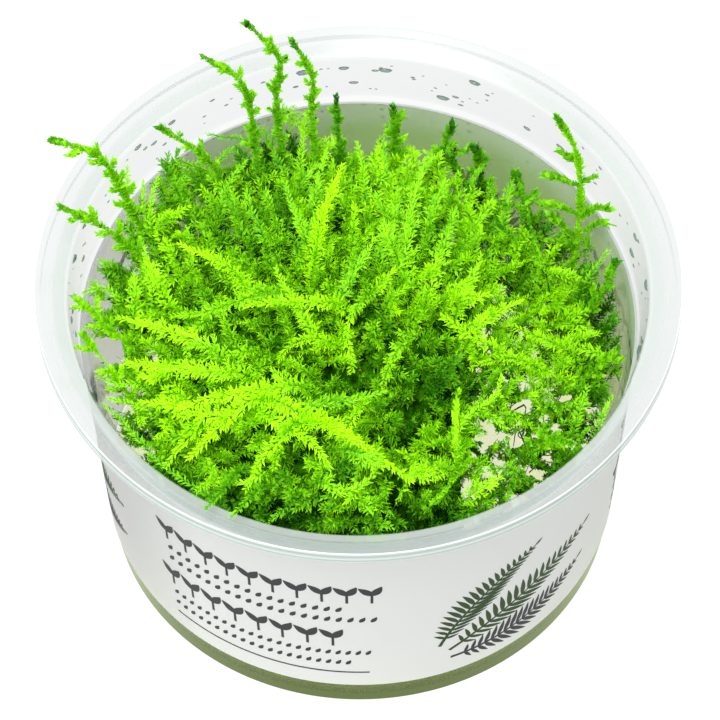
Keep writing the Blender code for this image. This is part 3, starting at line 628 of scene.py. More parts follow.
def nutrient_gel():
    """Set nutrient gel: a clear jelly, a little clouded, faintly yellow-green from the moss in it."""
    made, tree = new_material("clear_nutrient_gel")
    place = add(tree, "ShaderNodeTexCoord").outputs["Object"]
    # Clouds about eleven millimetres across
    clouds = add(tree, "ShaderNodeTexNoise", {"Vector": place, "Scale": 0.09 / MM, "Detail": 2.0})
    colour = add(tree, "ShaderNodeValToRGB", {"Fac": clouds}, [(0.3, "#AAB870"), (0.7, "#C8D092")])
    pale = add(tree, "ShaderNodeValToRGB", {"Fac": clouds}, [(0.3, "#FAFBDA"), (0.7, "#FFFFF2")])
    skin = add(tree, "ShaderNodeBsdfPrincipled", {"Base Color": colour, "Roughness": 0.15, "IOR": 1.34})
    clear = add(tree, "ShaderNodeBsdfTransparent", {"Color": pale})
    gel = add(tree, "ShaderNodeMixShader", {0: 0.96, 1: skin, 2: clear})
    add(tree, "ShaderNodeOutputMaterial", {"Surface": gel})
    return made


def water_bead():
    """Condensed water: clear beads with soft dark edges of painted shade."""
    made, tree = new_material("condensed_water")
    edge = add(tree, "ShaderNodeLayerWeight", {"Blend": 0.4}).outputs["Facing"]
    stops = [(0.0, "#A0A0A0"), (0.6, "#C8C8C8"), (1.0, "#F0F0F0")]
    rim = add(tree, "ShaderNodeValToRGB", {"Fac": edge}, stops)
    clear = add(tree, "ShaderNodeBsdfTransparent", {"Color": srgb("#F4F8F6")})
    # Dark green-grey at the edges: painted shade
    dark = {"Base Color": srgb("#4A6452"), "Roughness": 0.05, "IOR": 1.33}
    skin = add(tree, "ShaderNodeBsdfPrincipled", dark)
    bead = add(tree, "ShaderNodeMixShader", {0: rim, 1: clear, 2: skin})
    add(tree, "ShaderNodeOutputMaterial", {"Surface": bead})
    return made


def printing_ink(name, code):
    """Matte printing ink, a few thousandths of a millimetre thick, on the label film."""
    made, tree = new_material(name)
    place = add(tree, "ShaderNodeTexCoord").outputs["Object"]
    # The film's grain is finer than shows here, so it is drawn two millimetres coarse
    wear = add(tree, "ShaderNodeTexNoise", {"Vector": place, "Scale": 0.5 / MM, "Detail": 3.0})
    matte = add(tree, "ShaderNodeMapRange", {"Value": wear, "To Min": 0.46, "To Max": 0.54})
    ink = {"Base Color": srgb(code), "Roughness": matte, "IOR": 1.5, "Specular IOR Level": 0.15}
    skin = add(tree, "ShaderNodeBsdfPrincipled", ink)
    add(tree, "ShaderNodeOutputMaterial", {"Surface": skin})
    return made


def studio_floor():
    """A light table's acrylic top: matte, and lit so strongly from below that no shadow shows on it."""
    made, tree = new_material("lit_white_acrylic")
    matte = {"Base Color": srgb("#505050"), "Roughness": 0.9}
    lit = {"Emission Color": srgb("#FFFFFF"), "Emission Strength": 0.96}
    skin = add(tree, "ShaderNodeBsdfPrincipled", matte | lit)
    add(tree, "ShaderNodeOutputMaterial", {"Surface": skin})
    return made


def mesh_object(name, points, faces, material, smooth=True, tone=None):
    """An object from arrays of points in mm and of triangles or quads."""
    mesh = bpy.data.meshes.new(name)
    mesh.vertices.add(len(points))
    mesh.vertices.foreach_set("co", (np.asarray(points, np.float32) * MM).ravel())
    faces = np.asarray(faces, np.int32)
    corners = faces.shape[1]
    mesh.loops.add(faces.size)
    mesh.loops.foreach_set("vertex_index", faces.ravel())
    mesh.polygons.add(len(faces))
    mesh.polygons.foreach_set("loop_start", np.arange(0, faces.size, corners, dtype=np.int32))
    mesh.polygons.foreach_set("use_smooth", np.full(len(faces), smooth))
    if tone is not None:
        tones = mesh.attributes.new("tone", "FLOAT", "POINT")
        tones.data.foreach_set("value", np.asarray(tone, np.float32))
    mesh.update(calc_edges=True)
    mesh.validate()
    mesh.materials.append(material)
    made = bpy.data.objects.new(name, mesh)
    bpy.context.scene.collection.objects.link(made)
    return made


def turned(name, profile, material, steps=TURN_STEPS):
    """Spins a closed loop of (radius, height) points about Z."""
    ring = np.array(profile, float)
    count = len(ring)
    angles = np.linspace(0, math.tau, steps, endpoint=False)
    points = np.empty((steps, count, 3))
    points[:, :, 0] = np.cos(angles)[:, None] * ring[:, 0]
    points[:, :, 1] = np.sin(angles)[:, None] * ring[:, 0]
    points[:, :, 2] = ring[:, 1]
    here = (np.arange(steps)[:, None] * count + np.arange(count)).ravel()
    up = (np.arange(steps)[:, None] * count + (np.arange(count) + 1) % count).ravel()
    step = steps * count
    faces = np.stack([here, (here + count) % step, (up + count) % step, up], axis=1)
    return mesh_object(name, points.reshape(-1, 3), faces, material)


def rounded(corners, steps=5):
    """A closed outline of (radius, height, rounding) corners with each corner rounded off."""
    outline = []
    count = len(corners)
    for k, (x, y, rounding) in enumerate(corners):
        spot = Vector((x, y))
        if rounding == 0:
            outline.append((x, y))
            continue
        before = Vector(corners[k - 1][:2]) - spot
        after = Vector(corners[(k + 1) % count][:2]) - spot
        reach = min(rounding, before.length * 0.49, after.length * 0.49)
        start = spot + before.normalized() * reach
        end = spot + after.normalized() * reach
        for step in range(steps + 1):
            t = step / steps
            point = start * (1 - t) ** 2 + spot * 2 * t * (1 - t) + end * t * t
            outline.append((point.x, point.y))
    return outline


def wall_radius(height):
    """The drafted wall's outer radius at a height."""
    return BASE_RADIUS + (SHOULDER_RADIUS - BASE_RADIUS) * height / SHOULDER_HEIGHT


def inner_wall():
    """The inner side of the tub's wall, from its floor up to the lip, as (radius, height)."""
    shoulder = SHOULDER_HEIGHT + SHOULDER_INNER
    return [
        (wall_radius(FOOT_HEIGHT) - WALL, FLOOR),
        (SHOULDER_RADIUS - WALL, shoulder),
        (SHOULDER_RADIUS + SHOULDER_STEP - WALL, shoulder + SHOULDER_RISE),
        (LIP_RADIUS, TUB_HEIGHT - LIP_DROP - LIP_EDGE_DROP),
    ]


def build_tub(material):
    """The thin moulded tub: rounded foot, drafted wall, shoulder, inner lip, wide flange and its skirt."""
    lip = TUB_HEIGHT - LIP_DROP
    inside = RIM_RADIUS - WALL
    skirt = TUB_HEIGHT - SKIRT_HEIGHT
    foot, shoulder, neck, lip_edge = inner_wall()
    corners = [
        (AXIS, 0, 0),
        (BASE_RADIUS, 0, 0.35),
        (SHOULDER_RADIUS, SHOULDER_HEIGHT, 0.4),
        (SHOULDER_RADIUS + SHOULDER_STEP, SHOULDER_HEIGHT + SHOULDER_RISE, 0.5),
        (LIP_RADIUS + WALL, lip - FLANGE_THICKNESS, 0.9),
        (inside, TUB_HEIGHT - FLANGE_THICKNESS, 0.5),
        (inside, skirt, 0.15),
        (RIM_RADIUS, skirt, 0.3),
        (RIM_RADIUS, TUB_HEIGHT, 0.35),
        (LIP_RADIUS + 0.5, lip + 0.1, 0.5),
        (*lip_edge, 0.4),
        (*neck, 0.5),
        (*shoulder, 0.4),
        (*foot, 0.6),
        (AXIS, FLOOR, 0),
    ]
    piece = turned("clear_tub", rounded(corners), material)
    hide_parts("tub")
    return piece


def build_gel(material):
    """The gel as it set: against the wall, rounded along the foot, and drawn up a little at its edge."""
    foot = wall_radius(FOOT_HEIGHT) - WALL - GEL_GAP
    top = wall_radius(GEL_TOP) - WALL
    corners = [
        (AXIS, FLOOR + GEL_GAP, 0),
        (foot, FLOOR + GEL_GAP, 0.6),
        (top - GEL_GAP, GEL_TOP + 0.6, 0.2),
        (top - 1.6, GEL_TOP, 0.8),
        (AXIS, GEL_TOP, 0),
    ]
    piece = turned("set_gel", rounded(corners), material, steps=GEL_STEPS)
    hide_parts("nutrient_gel")
    return piece


def build_label(front, back):
    """The wrap label: an outer face of white film and an inner, glued face."""
    low = wall_radius(LABEL_BOTTOM)
    high = wall_radius(LABEL_TOP)
    loop = [
        (low + LABEL_BACK, LABEL_BOTTOM),
        (low + LABEL_FACE, LABEL_BOTTOM),
        (high + LABEL_FACE, LABEL_TOP),
        (high + LABEL_BACK, LABEL_TOP),
    ]
    piece = turned("wrap_label", loop, front)
    piece.data.materials.append(back)
    glued = len(loop) - 1
    slots = [1 if k % len(loop) == glued else 0 for k in range(len(piece.data.polygons))]
    piece.data.polygons.foreach_set("material_index", slots)
    piece.data.set_sharp_from_angle(angle=math.radians(30))
    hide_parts("label")
    return piece


def on_label(across, height, out=0.0):
    """A point on the label's face, by its distance round the tub from the front and its height."""
    radius = wall_radius(height) + LABEL_FACE + out
    angle = across / wall_radius(LABEL_MIDDLE) - math.pi / 2
    return (radius * math.cos(angle), radius * math.sin(angle), height)


class Print:
    """Thin closed shapes of ink that follow the label's face."""

    def __init__(self):
        self.points = []
        self.faces = []

    def ribbon(self, spine, widths):
        """A strip of ink along a line of (across, height) points, as wide as given at each."""
        spine = np.asarray(spine, float)
        ahead = unit(np.gradient(spine, axis=0))
        side = np.stack([-ahead[:, 1], ahead[:, 0]], axis=1)
        half = np.asarray(widths, float)[:, None] / 2
        first, count = len(self.points), len(spine)
        for edge in (spine + side * half, spine - side * half):
            self.points += [on_label(x, z, INK_ABOVE) for x, z in edge]
            self.points += [on_label(x, z, INK_BELOW) for x, z in edge]
        rows = [0, 2 * count, 3 * count, count]
        for k in range(count - 1):
            for here, there in zip(rows, rows[1:] + rows[:1]):
                start, end = first + here + k, first + there + k
                self.faces.append([start, end, end + 1, start + 1])
        for k, turn in ((0, 1), (count - 1, -1)):
            self.faces.append([first + row + k for row in rows][::-turn])

    def leaf(self, x, z, heading, length, width):
        """A pointed leaf that starts at (x, z)."""
        share = np.linspace(0, 1, 9)
        bend = 0.12 * length * share**2
        spine = np.stack([x + length * share * math.cos(heading) - bend * math.sin(heading),
                          z + length * share * math.sin(heading) + bend * math.cos(heading)], axis=1)
        self.ribbon(spine, width * np.sin(math.pi * (0.04 + 0.92 * share) ** 0.8) + 0.02)

    def sprig(self, x, z, heading, length, leaf, bend):
        """A curved stem with narrow leaflets to both sides, longest below its middle."""
        share = np.linspace(0, 1, FERN_STEPS + 1)
        turn = heading + bend * share
        step = length / FERN_STEPS
        spine = np.stack([x + np.cumsum(np.cos(turn)) * step, z + np.cumsum(np.sin(turn)) * step], axis=1)
        self.ribbon(spine, 0.6 - 0.4 * share)
        for k in range(2, FERN_STEPS):
            size = leaf * (1.0 - 0.85 * share[k] ** 2) * min(1.0, 0.25 + 1.9 * share[k])
            for hand in (1, -1):
                way = turn[k] + hand * (1.2 - 0.35 * share[k])
                self.leaf(spine[k][0], spine[k][1], way, size, 0.32 + size * 0.12)
        self.leaf(spine[-1][0], spine[-1][1], turn[-1], leaf * 0.3, leaf * 0.1)

    def rule(self, start, end, z, width):
        """A level line, in short steps so that it follows the label round the tub."""
        count = int((end - start) / 1.2)
        across = np.linspace(start, end, count)
        self.ribbon(np.stack([across, np.full(count, z)], axis=1), np.full(count, width))

    def build(self, name, material):
        return mesh_object(name, self.points, self.faces, material, smooth=False)


def build_print(green, dark):
    """A plain pattern repeated round the label: a fan of ferns, and rows of leaves over a rule."""
    ferns, rows = Print(), Print()
    pitch = math.tau * wall_radius(LABEL_MIDDLE) / PRINT_REPEATS
    for number in range(PRINT_REPEATS):
        x = number * pitch + PRINT_START
        for across, *fern in GREEN_FERNS:
            ferns.sprig(x + across, *fern)
        rows.sprig(x + DARK_FERN[0], *DARK_FERN[1:])
        for z, size, gap, count in LEAF_ROWS:
            length, width = 0.62 * size, 0.3 * size
            for k in range(count):
                start = x + ROWS_START + k * gap
                if size > STALKED_FROM:
                    stalk = [(start, z - 0.5 * size), (start, z - 0.2 * size), (start, z)]
                    rows.ribbon(stalk, (0.4, 0.4, 0.4))
                    rows.leaf(start, z, 2.2, length, width)
                rows.leaf(start, z, 0.95, length, width)
        rows.rule(x + ROWS_START, x + ROWS_END, RULE_HEIGHT, RULE_WIDTH)
    return ferns.build("fern_print", green), rows.build("leaf_row_print", dark)


def smooth_step(value, low, high):
    """Rises smoothly from 0 at low to 1 at high."""
    share = np.clip((value - low) / (high - low), 0, 1)
    return share * share * (3 - 2 * share)


def clump_height(x, y):
    """Height of the clump's top over (x, y)."""
    out = np.hypot(x, y) / FRONT_REACH
    right = RIGHT_FALL * smooth_step(x, 2, 36)
    back = BACK_FALL * smooth_step(y, 12, 31)
    hollow = 0.0
    for hollow_x, hollow_y in HOLLOWS:
        away = np.hypot(x - hollow_x, y - hollow_y) / HOLLOW_REACH
        hollow = np.maximum(hollow, HOLLOW_DEPTH * np.exp(-away * away))
    return CLUMP_TOP - CLUMP_DOME * out * out - right - back - hollow


def clump_reach(angle):
    """How far the clump's top reaches from the axis."""
    back = smooth_step(np.sin(angle), -0.1, 0.75)
    right = smooth_step(np.cos(angle), 0.2, 0.9)
    reach = FRONT_REACH + (BACK_REACH - FRONT_REACH) * back
    return np.minimum(reach, FRONT_REACH + (RIGHT_REACH - FRONT_REACH) * right)


def patch_change(x, y):
    """How much lighter or darker the moss is drawn at (x, y) than the rest."""
    change = 0.0
    for patch_x, patch_y, reach, much in PATCHES:
        change = change + much * np.exp(-(((x - patch_x) ** 2 + (y - patch_y) ** 2) / reach**2))
    return change


def looseness(x, y):
    """0 where the moss is dense, up to 1 in the middle of a loose patch."""
    loose = 0.0
    for patch_x, patch_y, reach in LOOSE_PATCHES:
        loose = np.maximum(loose, np.exp(-(((x - patch_x) ** 2 + (y - patch_y) ** 2) / reach**2) ** 2))
    return loose


def outside_gaps(points):
    """Which points are clear of the gaps in the moss, through which the wall and the gel are seen."""
    keep = np.ones(len(points), bool)
    sight = np.array([0.0, math.cos(GAP_SLOPE), -math.sin(GAP_SLOPE)])
    for x, y, z, half_width, half_height in GAPS:
        offset = points - np.array([x, y, z])
        across = offset[:, 0]
        rise = offset[:, 1] * math.sin(GAP_SLOPE) + offset[:, 2] * math.cos(GAP_SLOPE)
        ahead = offset @ sight
        ragged = 1 + 0.3 * np.sin(2.7 * points[:, 0] + x) + 0.25 * np.sin(3.1 * points[:, 2] + y)
        inside = (across / half_width) ** 2 + (rise / half_height) ** 2 < ragged
        keep &= ~(inside & (ahead > -GAP_FRONT))
    return keep


def inside_wall(points):
    """Which points are clear of the tub's wall, neck and lip, or above them."""
    radii, heights = zip(*inner_wall())
    out = np.hypot(points[:, 0], points[:, 1])
    return (out < np.interp(points[:, 2], heights, radii)) | (points[:, 2] > heights[-1])


def unit(vectors):
    """Vectors of length 1 in the same directions."""
    return vectors / np.maximum(np.linalg.norm(vectors, axis=-1, keepdims=True), 1e-9)


def tube_faces(rings, sides):
    """Triangles between rings of points, each with as many points as there are sides."""
    rows = np.arange(rings - 1)[:, None] * sides
    here = (rows + np.arange(sides)).ravel()
    after = (rows + (np.arange(sides) + 1) % sides).ravel()
    lower = np.stack([here, here + sides, after + sides], 1)
    return np.concatenate([lower, np.stack([here, after + sides, after], 1)])


def curve_through(knots, spacing):
    """Evenly spaced points on a smooth curve through the given ones."""
    knots = np.asarray(knots, float)
    padded = np.vstack([2 * knots[0] - knots[1], knots, 2 * knots[-1] - knots[-2]])
    t = np.linspace(0, 1, 16, endpoint=False)[:, None]
    pieces = []
    for k in range(len(knots) - 1):
        a, b, c, d = padded[k : k + 4]
        square, cube = (2 * a - 5 * b + 4 * c - d) * t**2, (3 * b - a - 3 * c + d) * t**3
        pieces.append(0.5 * (2 * b + (c - a) * t + square + cube))
    fine = np.vstack([*pieces, knots[-1:]])
    lengths = np.concatenate([[0], np.cumsum(np.linalg.norm(np.diff(fine, axis=0), axis=1))])
    count = max(3, int(round(lengths[-1] / spacing)) + 1)
    wanted = np.linspace(0, lengths[-1], count)
    return np.stack([np.interp(wanted, lengths, fine[:, k]) for k in range(3)], axis=1)


def length_of(points):
    """The length of a line through the points."""
    return float(np.linalg.norm(np.diff(points, axis=0), axis=1).sum())


class Foliage:
    """Collects leaves and stems, then makes them into meshes."""

    def __init__(self, seed):
        self.draw = np.random.default_rng(seed)
        self.leaves = []
        self.stems = []

    def leafy(self, curve, facing, leaf, tone, ranks=FLAT_RANKS, pitch=FLAT_PITCH, spread=(1.15, 0.6),
              taper=0.4, width=0.28, swell=0.0, dark_tip=0.0, first=0.0):
        """Leaves in ranks along a shoot, each at its own turn round it, and shorter towards the tip."""
        draw = self.draw
        length = length_of(curve)
        count = int(length * (1 - first) / pitch)
        if count < 3:
            return
        share = first + (1 - first) * (np.arange(count) + draw.uniform(0.2, 0.8, count)) / count
        place = share * (len(curve) - 1)
        steps = np.arange(len(curve))
        spots = np.stack([np.interp(place, steps, curve[:, k]) for k in range(3)], axis=1)
        slopes = unit(np.gradient(curve, axis=0))
        ahead = unit(np.stack([np.interp(place, steps, slopes[:, k]) for k in range(3)], axis=1))
        up = unit(facing - ahead * np.sum(ahead * facing, axis=1, keepdims=True))
        side = np.cross(ahead, up)
        turn = np.radians(np.asarray(ranks, float)[np.arange(count) % len(ranks)])
        turn = turn + draw.normal(0, 0.28, count)
        out = side * np.cos(turn)[:, None] + up * np.sin(turn)[:, None]
        open_by = (spread[0] + (spread[1] - spread[0]) * share + draw.normal(0, 0.2, count))[:, None]
        way = unit(ahead * np.cos(open_by) + out * np.sin(open_by))
        size = leaf * (1 - taper * share**2.2) * np.minimum(1, 0.6 + 5 * (share - first))
        size = size * draw.uniform(0.7, 1.2, count)
        if swell:
            size = size * (1 + swell * np.sin(share * length * 0.9 + draw.uniform(0, 6)))
        face = out if ranks is ROUND_RANKS else up
        top = unit(face - way * np.sum(face * way, axis=1, keepdims=True))
        shade = tone + 0.08 * (share - 0.5) + draw.normal(0, 0.055, count)
        shade = shade - dark_tip * np.clip((share - 0.86) / 0.14, 0, 1)
        self.leaves.append((spots, way, top, size, shade, np.full(count, width)))

    def stem(self, curve, radius, tone, spacing, crosses_gaps=False):
        """A stem along a curve, through six or so of its points. Only old stems cross the gaps."""
        points = curve_through(curve[:: max(1, len(curve) // 6)] if len(curve) > 12 else curve, spacing)
        self.stems.append((points, radius, tone, crosses_gaps))

    def frond(self, route, facing, tone, leaf, branch, gap=1.7, bare=0.0, stem_tone=0.35, pitch=FLAT_PITCH):
        """A flat feathery frond: a leafy axis with leafy branches to both sides, longest low down."""
        draw = self.draw
        curve = curve_through(route, ROUTE_SPACING)
        length = length_of(curve)
        facing = unit(np.asarray(facing, float) + draw.normal(0, 0.15, 3))
        self.leafy(curve, facing, leaf, tone, pitch=pitch, first=bare)
        self.stem(curve, 0.11, stem_tone, 1.3)
        slopes = unit(np.gradient(curve, axis=0))
        along, hand = bare * length + draw.uniform(0.2, gap), 1
        while along < length - 0.9:
            share = along / length
            grown = min(1.0, 0.45 + 3.0 * (share - bare)) * (1.0 - 0.8 * share**1.5)
            reach = branch * grown * draw.uniform(0.7, 1.2)
            if reach > 0.75:
                k = min(int(share * (len(curve) - 1)), len(curve) - 1)
                ahead = slopes[k]
                up = unit(facing - ahead * (ahead @ facing))
                side = np.cross(ahead, up) * hand
                turn = draw.uniform(0.7, 1.05)
                side = side + up * draw.normal(0.08, 0.28)
                start = unit(ahead * math.cos(turn) + side * math.sin(turn))
                t = np.linspace(0, reach, 5)[:, None]
                bend = (ahead * 0.45 + up * draw.normal(0.0, 0.3)) / reach
                twig = curve[k] + start * t + bend * t**2 * 0.35
                shade = tone + draw.normal(0, 0.045)
                self.leafy(twig, facing, leaf * 0.84, shade, pitch=1.08 * pitch, spread=(1, 0.5), taper=0.55)
            along += gap * draw.uniform(0.35, 0.65)
            hand = -hand

    def scaly_shoot(self, route, size, tone, dark_tip, buds=0.0):
        """A slender round shoot with small close leaves, that swells and narrows, and its side buds if any."""
        draw = self.draw
        curve = curve_through(route, ROUTE_SPACING)
        length = length_of(curve)
        facing = np.array([0.0, -0.7, 0.7])
        self.leafy(curve, facing, 1.2 * size, tone, ranks=ROUND_RANKS, pitch=ROUND_PITCH, spread=(0.75, 0.55),
                   taper=0.08, width=0.72, swell=0.22, dark_tip=dark_tip)
        self.stem(curve, 0.28 * size, tone - 0.1, 0.8)
        if not buds:
            return
        slopes = unit(np.gradient(curve, axis=0))
        along, hand = length * 0.25, 1
        while along < length * 0.88:
            k = int(along / length * (len(curve) - 1))
            side = unit(np.cross(slopes[k], unit(facing))) * hand
            reach = buds * draw.uniform(0.55, 1.2)
            tip = curve[k] + slopes[k] * reach * 0.75 + side * reach * 0.7 + draw.normal(0, 0.12, 3)
            middle = (curve[k] + tip) / 2 + side * reach * 0.08
            twig = curve_through([curve[k], middle, tip], ROUTE_SPACING)
            shade = tone + draw.normal(0.04, 0.04)
            self.leafy(twig, facing, 1.2 * size, shade, ranks=ROUND_RANKS, pitch=1.1 * ROUND_PITCH,
                       spread=(0.75, 0.4), taper=0.5, width=0.66, dark_tip=dark_tip * 0.5)
            along += draw.uniform(1.3, 2.6)
            hand = -hand

    def leaf_arrays(self):
        """All leaves as closed slivers: base, two shoulders and tip. Deep leaves are darker: painted shade,
        partly old leaves.
        """
        base, way, top = (np.concatenate([item[k] for item in self.leaves]) for k in range(3))
        length, tone, width = (np.concatenate([item[k] for item in self.leaves]) for k in (3, 4, 5))
        length = length[:, None]
        side = np.cross(way, top) * width[:, None] * length * 0.5
        shoulder = base + way * length * 0.38 + top * length * 0.07
        tip = base + way * length + top * length * self.draw.normal(0.06, 0.12, length.shape)
        points = np.stack([base, shoulder + side, shoulder - side, tip], axis=1)
        keep = outside_gaps(base + way * length * 0.5) & inside_wall(tip)
        points, base, tone = points[keep], base[keep], tone[keep]
        depth = np.clip(clump_height(base[:, 0], base[:, 1]) - base[:, 2], 0, 12)
        inside = np.clip(depth, 0, 1)
        patch = patch_change(base[:, 0], base[:, 1]) * np.clip(1.2 - tone, 0.2, 1)
        # Darker the deeper under the clump's top: painted shade, and partly the dull green of old leaves
        tone = tone - 0.024 * depth + patch
        dead = self.draw.random(len(tone)) < 0.004 + 0.008 * inside
        tone = np.where(dead, self.draw.uniform(0.0, 0.12, len(tone)), np.clip(tone, 0.24, 1.0))
        shades = np.clip(tone[:, None] + np.array([-0.10, 0.0, 0.0, 0.06]), 0, 1)
        return points, shades

    def build(self, name, material):
        """One object for each batch of leaves, and one for the stems."""
        points, tone = self.leaf_arrays()
        pattern = np.array([[3, 2, 1], [0, 1, 2], [0, 2, 3], [0, 3, 1]])
        pieces = []
        for start in range(0, len(points), LEAVES_IN_MESH):
            part = points[start : start + LEAVES_IN_MESH].reshape(-1, 3)
            faces = (np.arange(len(part) // 4)[:, None, None] * 4 + pattern).reshape(-1, 3)
            shades = tone[start : start + LEAVES_IN_MESH].ravel()
            pieces.append(mesh_object(f"{name}_{len(pieces) + 1}", part, faces, material, False, shades))
        spots, faces, shades = self.stem_arrays()
        pieces.append(mesh_object(f"{name}_stems", spots, faces, material, False, shades))
        return pieces

    def stem_arrays(self):
        """Three-sided stems that narrow towards the tip."""
        spots, faces, tones, first = [], [], [], 0
        for points, radius, tone, crosses_gaps in self.stems:
            count = len(points)
            if not crosses_gaps and outside_gaps(points).mean() < 0.7:
                continue
            ahead = unit(np.gradient(points, axis=0))
            guide = np.where(np.abs(ahead[:, 2:]) > 0.9, np.array([[1.0, 0, 0]]), UP[None])
            side = unit(np.cross(ahead, guide))
            across = np.cross(ahead, side)
            thin = radius * np.linspace(1, 0.45, count)
            turns = np.arange(3) * math.tau / 3
            ring = side[:, None] * np.cos(turns)[:, None] + across[:, None] * np.sin(turns)[:, None]
            spots.append((points[:, None] + ring * thin[:, None, None]).reshape(-1, 3))
            last = (count - 1) * 3
            ends = np.array([[0, 1, 2], [last, last + 2, last + 1]])
            faces.append(np.concatenate([tube_faces(count, 3), ends]) + first)
            tones.append(np.full(count * 3, tone))
            first += count * 3
        return np.concatenate(spots), np.concatenate(faces), np.clip(np.concatenate(tones), 0, 1)


def keep_in_tub(route, room=1.6):
    """Draws a route in where it would meet the tub's wall below the rim."""
    heights, radii = zip(*REACH_LIMITS)
    for point in route:
        limit = np.interp(point[2], heights, radii) - room
        out = math.hypot(point[0], point[1])
        if out > limit:
            point[:2] *= limit / out
    return route


def grow_fill(foliage, count, depth, lengths, lifts, tones, thin, pitch, shift):
    """Fronds all over the clump: upright in the middle, leaning out at its sides, and most so in front."""
    draw = foliage.draw
    for index in range(count):
        angle = (index + shift) * GOLDEN_ANGLE
        share = math.sqrt((index + 0.5) / count)
        out = share * (clump_reach(angle) - 0.2)
        x, y = out * math.cos(angle) + draw.normal(0, 0.8), out * math.sin(angle) + draw.normal(0, 0.8)
        lean = 0.3 + 0.7 * share**1.3 + 0.3 * max(0.0, -math.sin(angle)) * share + draw.normal(0, 0.38)
        heading = angle + draw.normal(0, 0.9)
        length = draw.uniform(*lengths)
        lift = draw.uniform(*lifts)
        tone = draw.uniform(*tones)
        if draw.random() < thin * float(looseness(x, y)):
            continue
        aside = math.sin(lean)
        way = np.array([aside * math.cos(heading), aside * math.sin(heading), math.cos(lean)])
        tip = np.array([x, y, float(clump_height(x, y)) - depth + lift])
        root = tip - way * length * 0.8 - UP * length * 0.3
        middle = (root + tip) / 2 + UP * length * 0.12 + draw.normal(0, 0.05, 3) * length
        route = keep_in_tub(np.stack([root, middle, tip]))
        facing = np.array([0.0, -0.35, 0.6]) + draw.normal(0, 0.45, 3)
        foliage.frond(route, facing, tone, LEAF, BRANCH, bare=BARE, pitch=pitch)


def grow_sides(foliage, count):
    """Fronds down the sides, in the gap between the clump's top and the wall: thick in front, thin behind."""
    draw = foliage.draw
    for index in range(count):
        angle = -math.pi / 2 + (index / count * 2 - 1) * 2.25 + draw.normal(0, 0.03)
        reach = float(clump_reach(angle))
        out = reach + draw.uniform(-4.5, 0.6)
        edge = float(clump_height(reach * math.cos(angle), reach * math.sin(angle)))
        height = edge - draw.uniform(0.5, 13.0)
        if draw.random() < 0.75 * float(looseness(out * math.cos(angle), out * math.sin(angle))):
            continue
        outward = np.array([math.cos(angle), math.sin(angle), 0])
        along = np.array([-math.sin(angle), math.cos(angle), 0])
        tip = outward * out + UP * height
        length = draw.uniform(6, 9)
        root = tip - outward * length * draw.uniform(0.3, 0.7) - UP * length * draw.uniform(0.3, 0.8)
        middle = (root + tip) / 2 + UP * length * 0.1 + along * draw.normal(0, 0.8)
        route = keep_in_tub(np.stack([root, middle, tip + along * draw.normal(0, 1.5)]), 1.0)
        # Darker the lower down the side: painted shade, and partly older moss
        tone = 0.66 - 0.012 * (edge - height) + draw.normal(0, 0.06)
        facing = np.array([0, -0.4, 0.6]) + draw.normal(0, 0.4, 3)
        foliage.frond(route, facing, tone, LEAF, 2.4, bare=BARE)


def grow_old_stems(foliage, count):
    """Bare brown stems of old moss in the loose patch, and thin olive shoots between them."""
    draw = foliage.draw
    for index in range(count):
        x, y, z = GAPS[index % LOOSE_GAPS][:3]
        spot = np.array([x, y, z - 4.0]) + draw.normal(0, 2.0, 3)
        turn = draw.uniform(0, math.tau)
        way = np.array([math.cos(turn), 0.6 * math.sin(turn), math.sin(turn)]) * draw.uniform(0.8, 2.4)
        bend = draw.normal(0, 0.9, 3)
        route = keep_in_tub(np.stack([spot - way, spot + bend, spot + way]), 1.0)
        if index % 5 < 1:
            radius, tone = draw.uniform(0.12, 0.2), draw.uniform(0.1, 0.36)
            foliage.stem(curve_through(route, 0.5), radius, tone, 0.5, crosses_gaps=True)
        else:
            foliage.scaly_shoot(route, draw.uniform(0.5, 0.75), draw.uniform(0.4, 0.62), 0.0)


def grow_edges(foliage, count):
    """Fronds that close the gap between the clump's top and the wall at the right and at the back left."""
    draw = foliage.draw
    for first, last, near, far, low, high, tone, share in EDGE_ARCS:
        for index in range(int(count * share)):
            angle = math.radians(draw.uniform(first, last))
            outward = np.array([math.cos(angle), math.sin(angle), 0])
            along = np.array([-math.sin(angle), math.cos(angle), 0])
            tip = outward * draw.uniform(near, far) + UP * draw.uniform(low, high)
            tip = tip + along * draw.normal(0, 1)
            length = draw.uniform(6, 9)
            root = tip - outward * length * draw.uniform(0.2, 0.6) - UP * length * draw.uniform(0.4, 0.8)
            middle = (root + tip) / 2 + along * draw.normal(0, 0.9) + UP * 0.5
            route = keep_in_tub(np.stack([root, middle, tip]), 0.9)
            facing = np.array([0, -0.4, 0.6]) + draw.normal(0, 0.4, 3)
            foliage.frond(route, facing, tone + draw.normal(0, 0.08), 1.45, 2.3, bare=BARE)


def grow_strands(foliage):
    """The strands that lie over the top, rooted down in the mass. Three of them hang over the front lip."""
    for route, tone, leaf, branch in FEATHERY_STRANDS:
        points = np.array(route, float)
        root = points[0] + (points[0] - points[1]) * 0.7 - UP * 4.0
        over_lip = points[-1][2] > TUB_HEIGHT and points[-1][1] < -40
        path = keep_in_tub(np.vstack([root, points]), -3.0 if over_lip else 0.6)
        foliage.frond(path, (0, -0.45, 0.8), 0.25 + tone * 0.62, leaf * 1.12, branch)
    for route, tone, size in SMOOTH_STRANDS:
        points = np.array(route, float)
        root = points[0] + (points[0] - points[1]) * 0.5 - UP * 3.0
        foliage.scaly_shoot(np.vstack([root, points]), size, tone, 0.1)


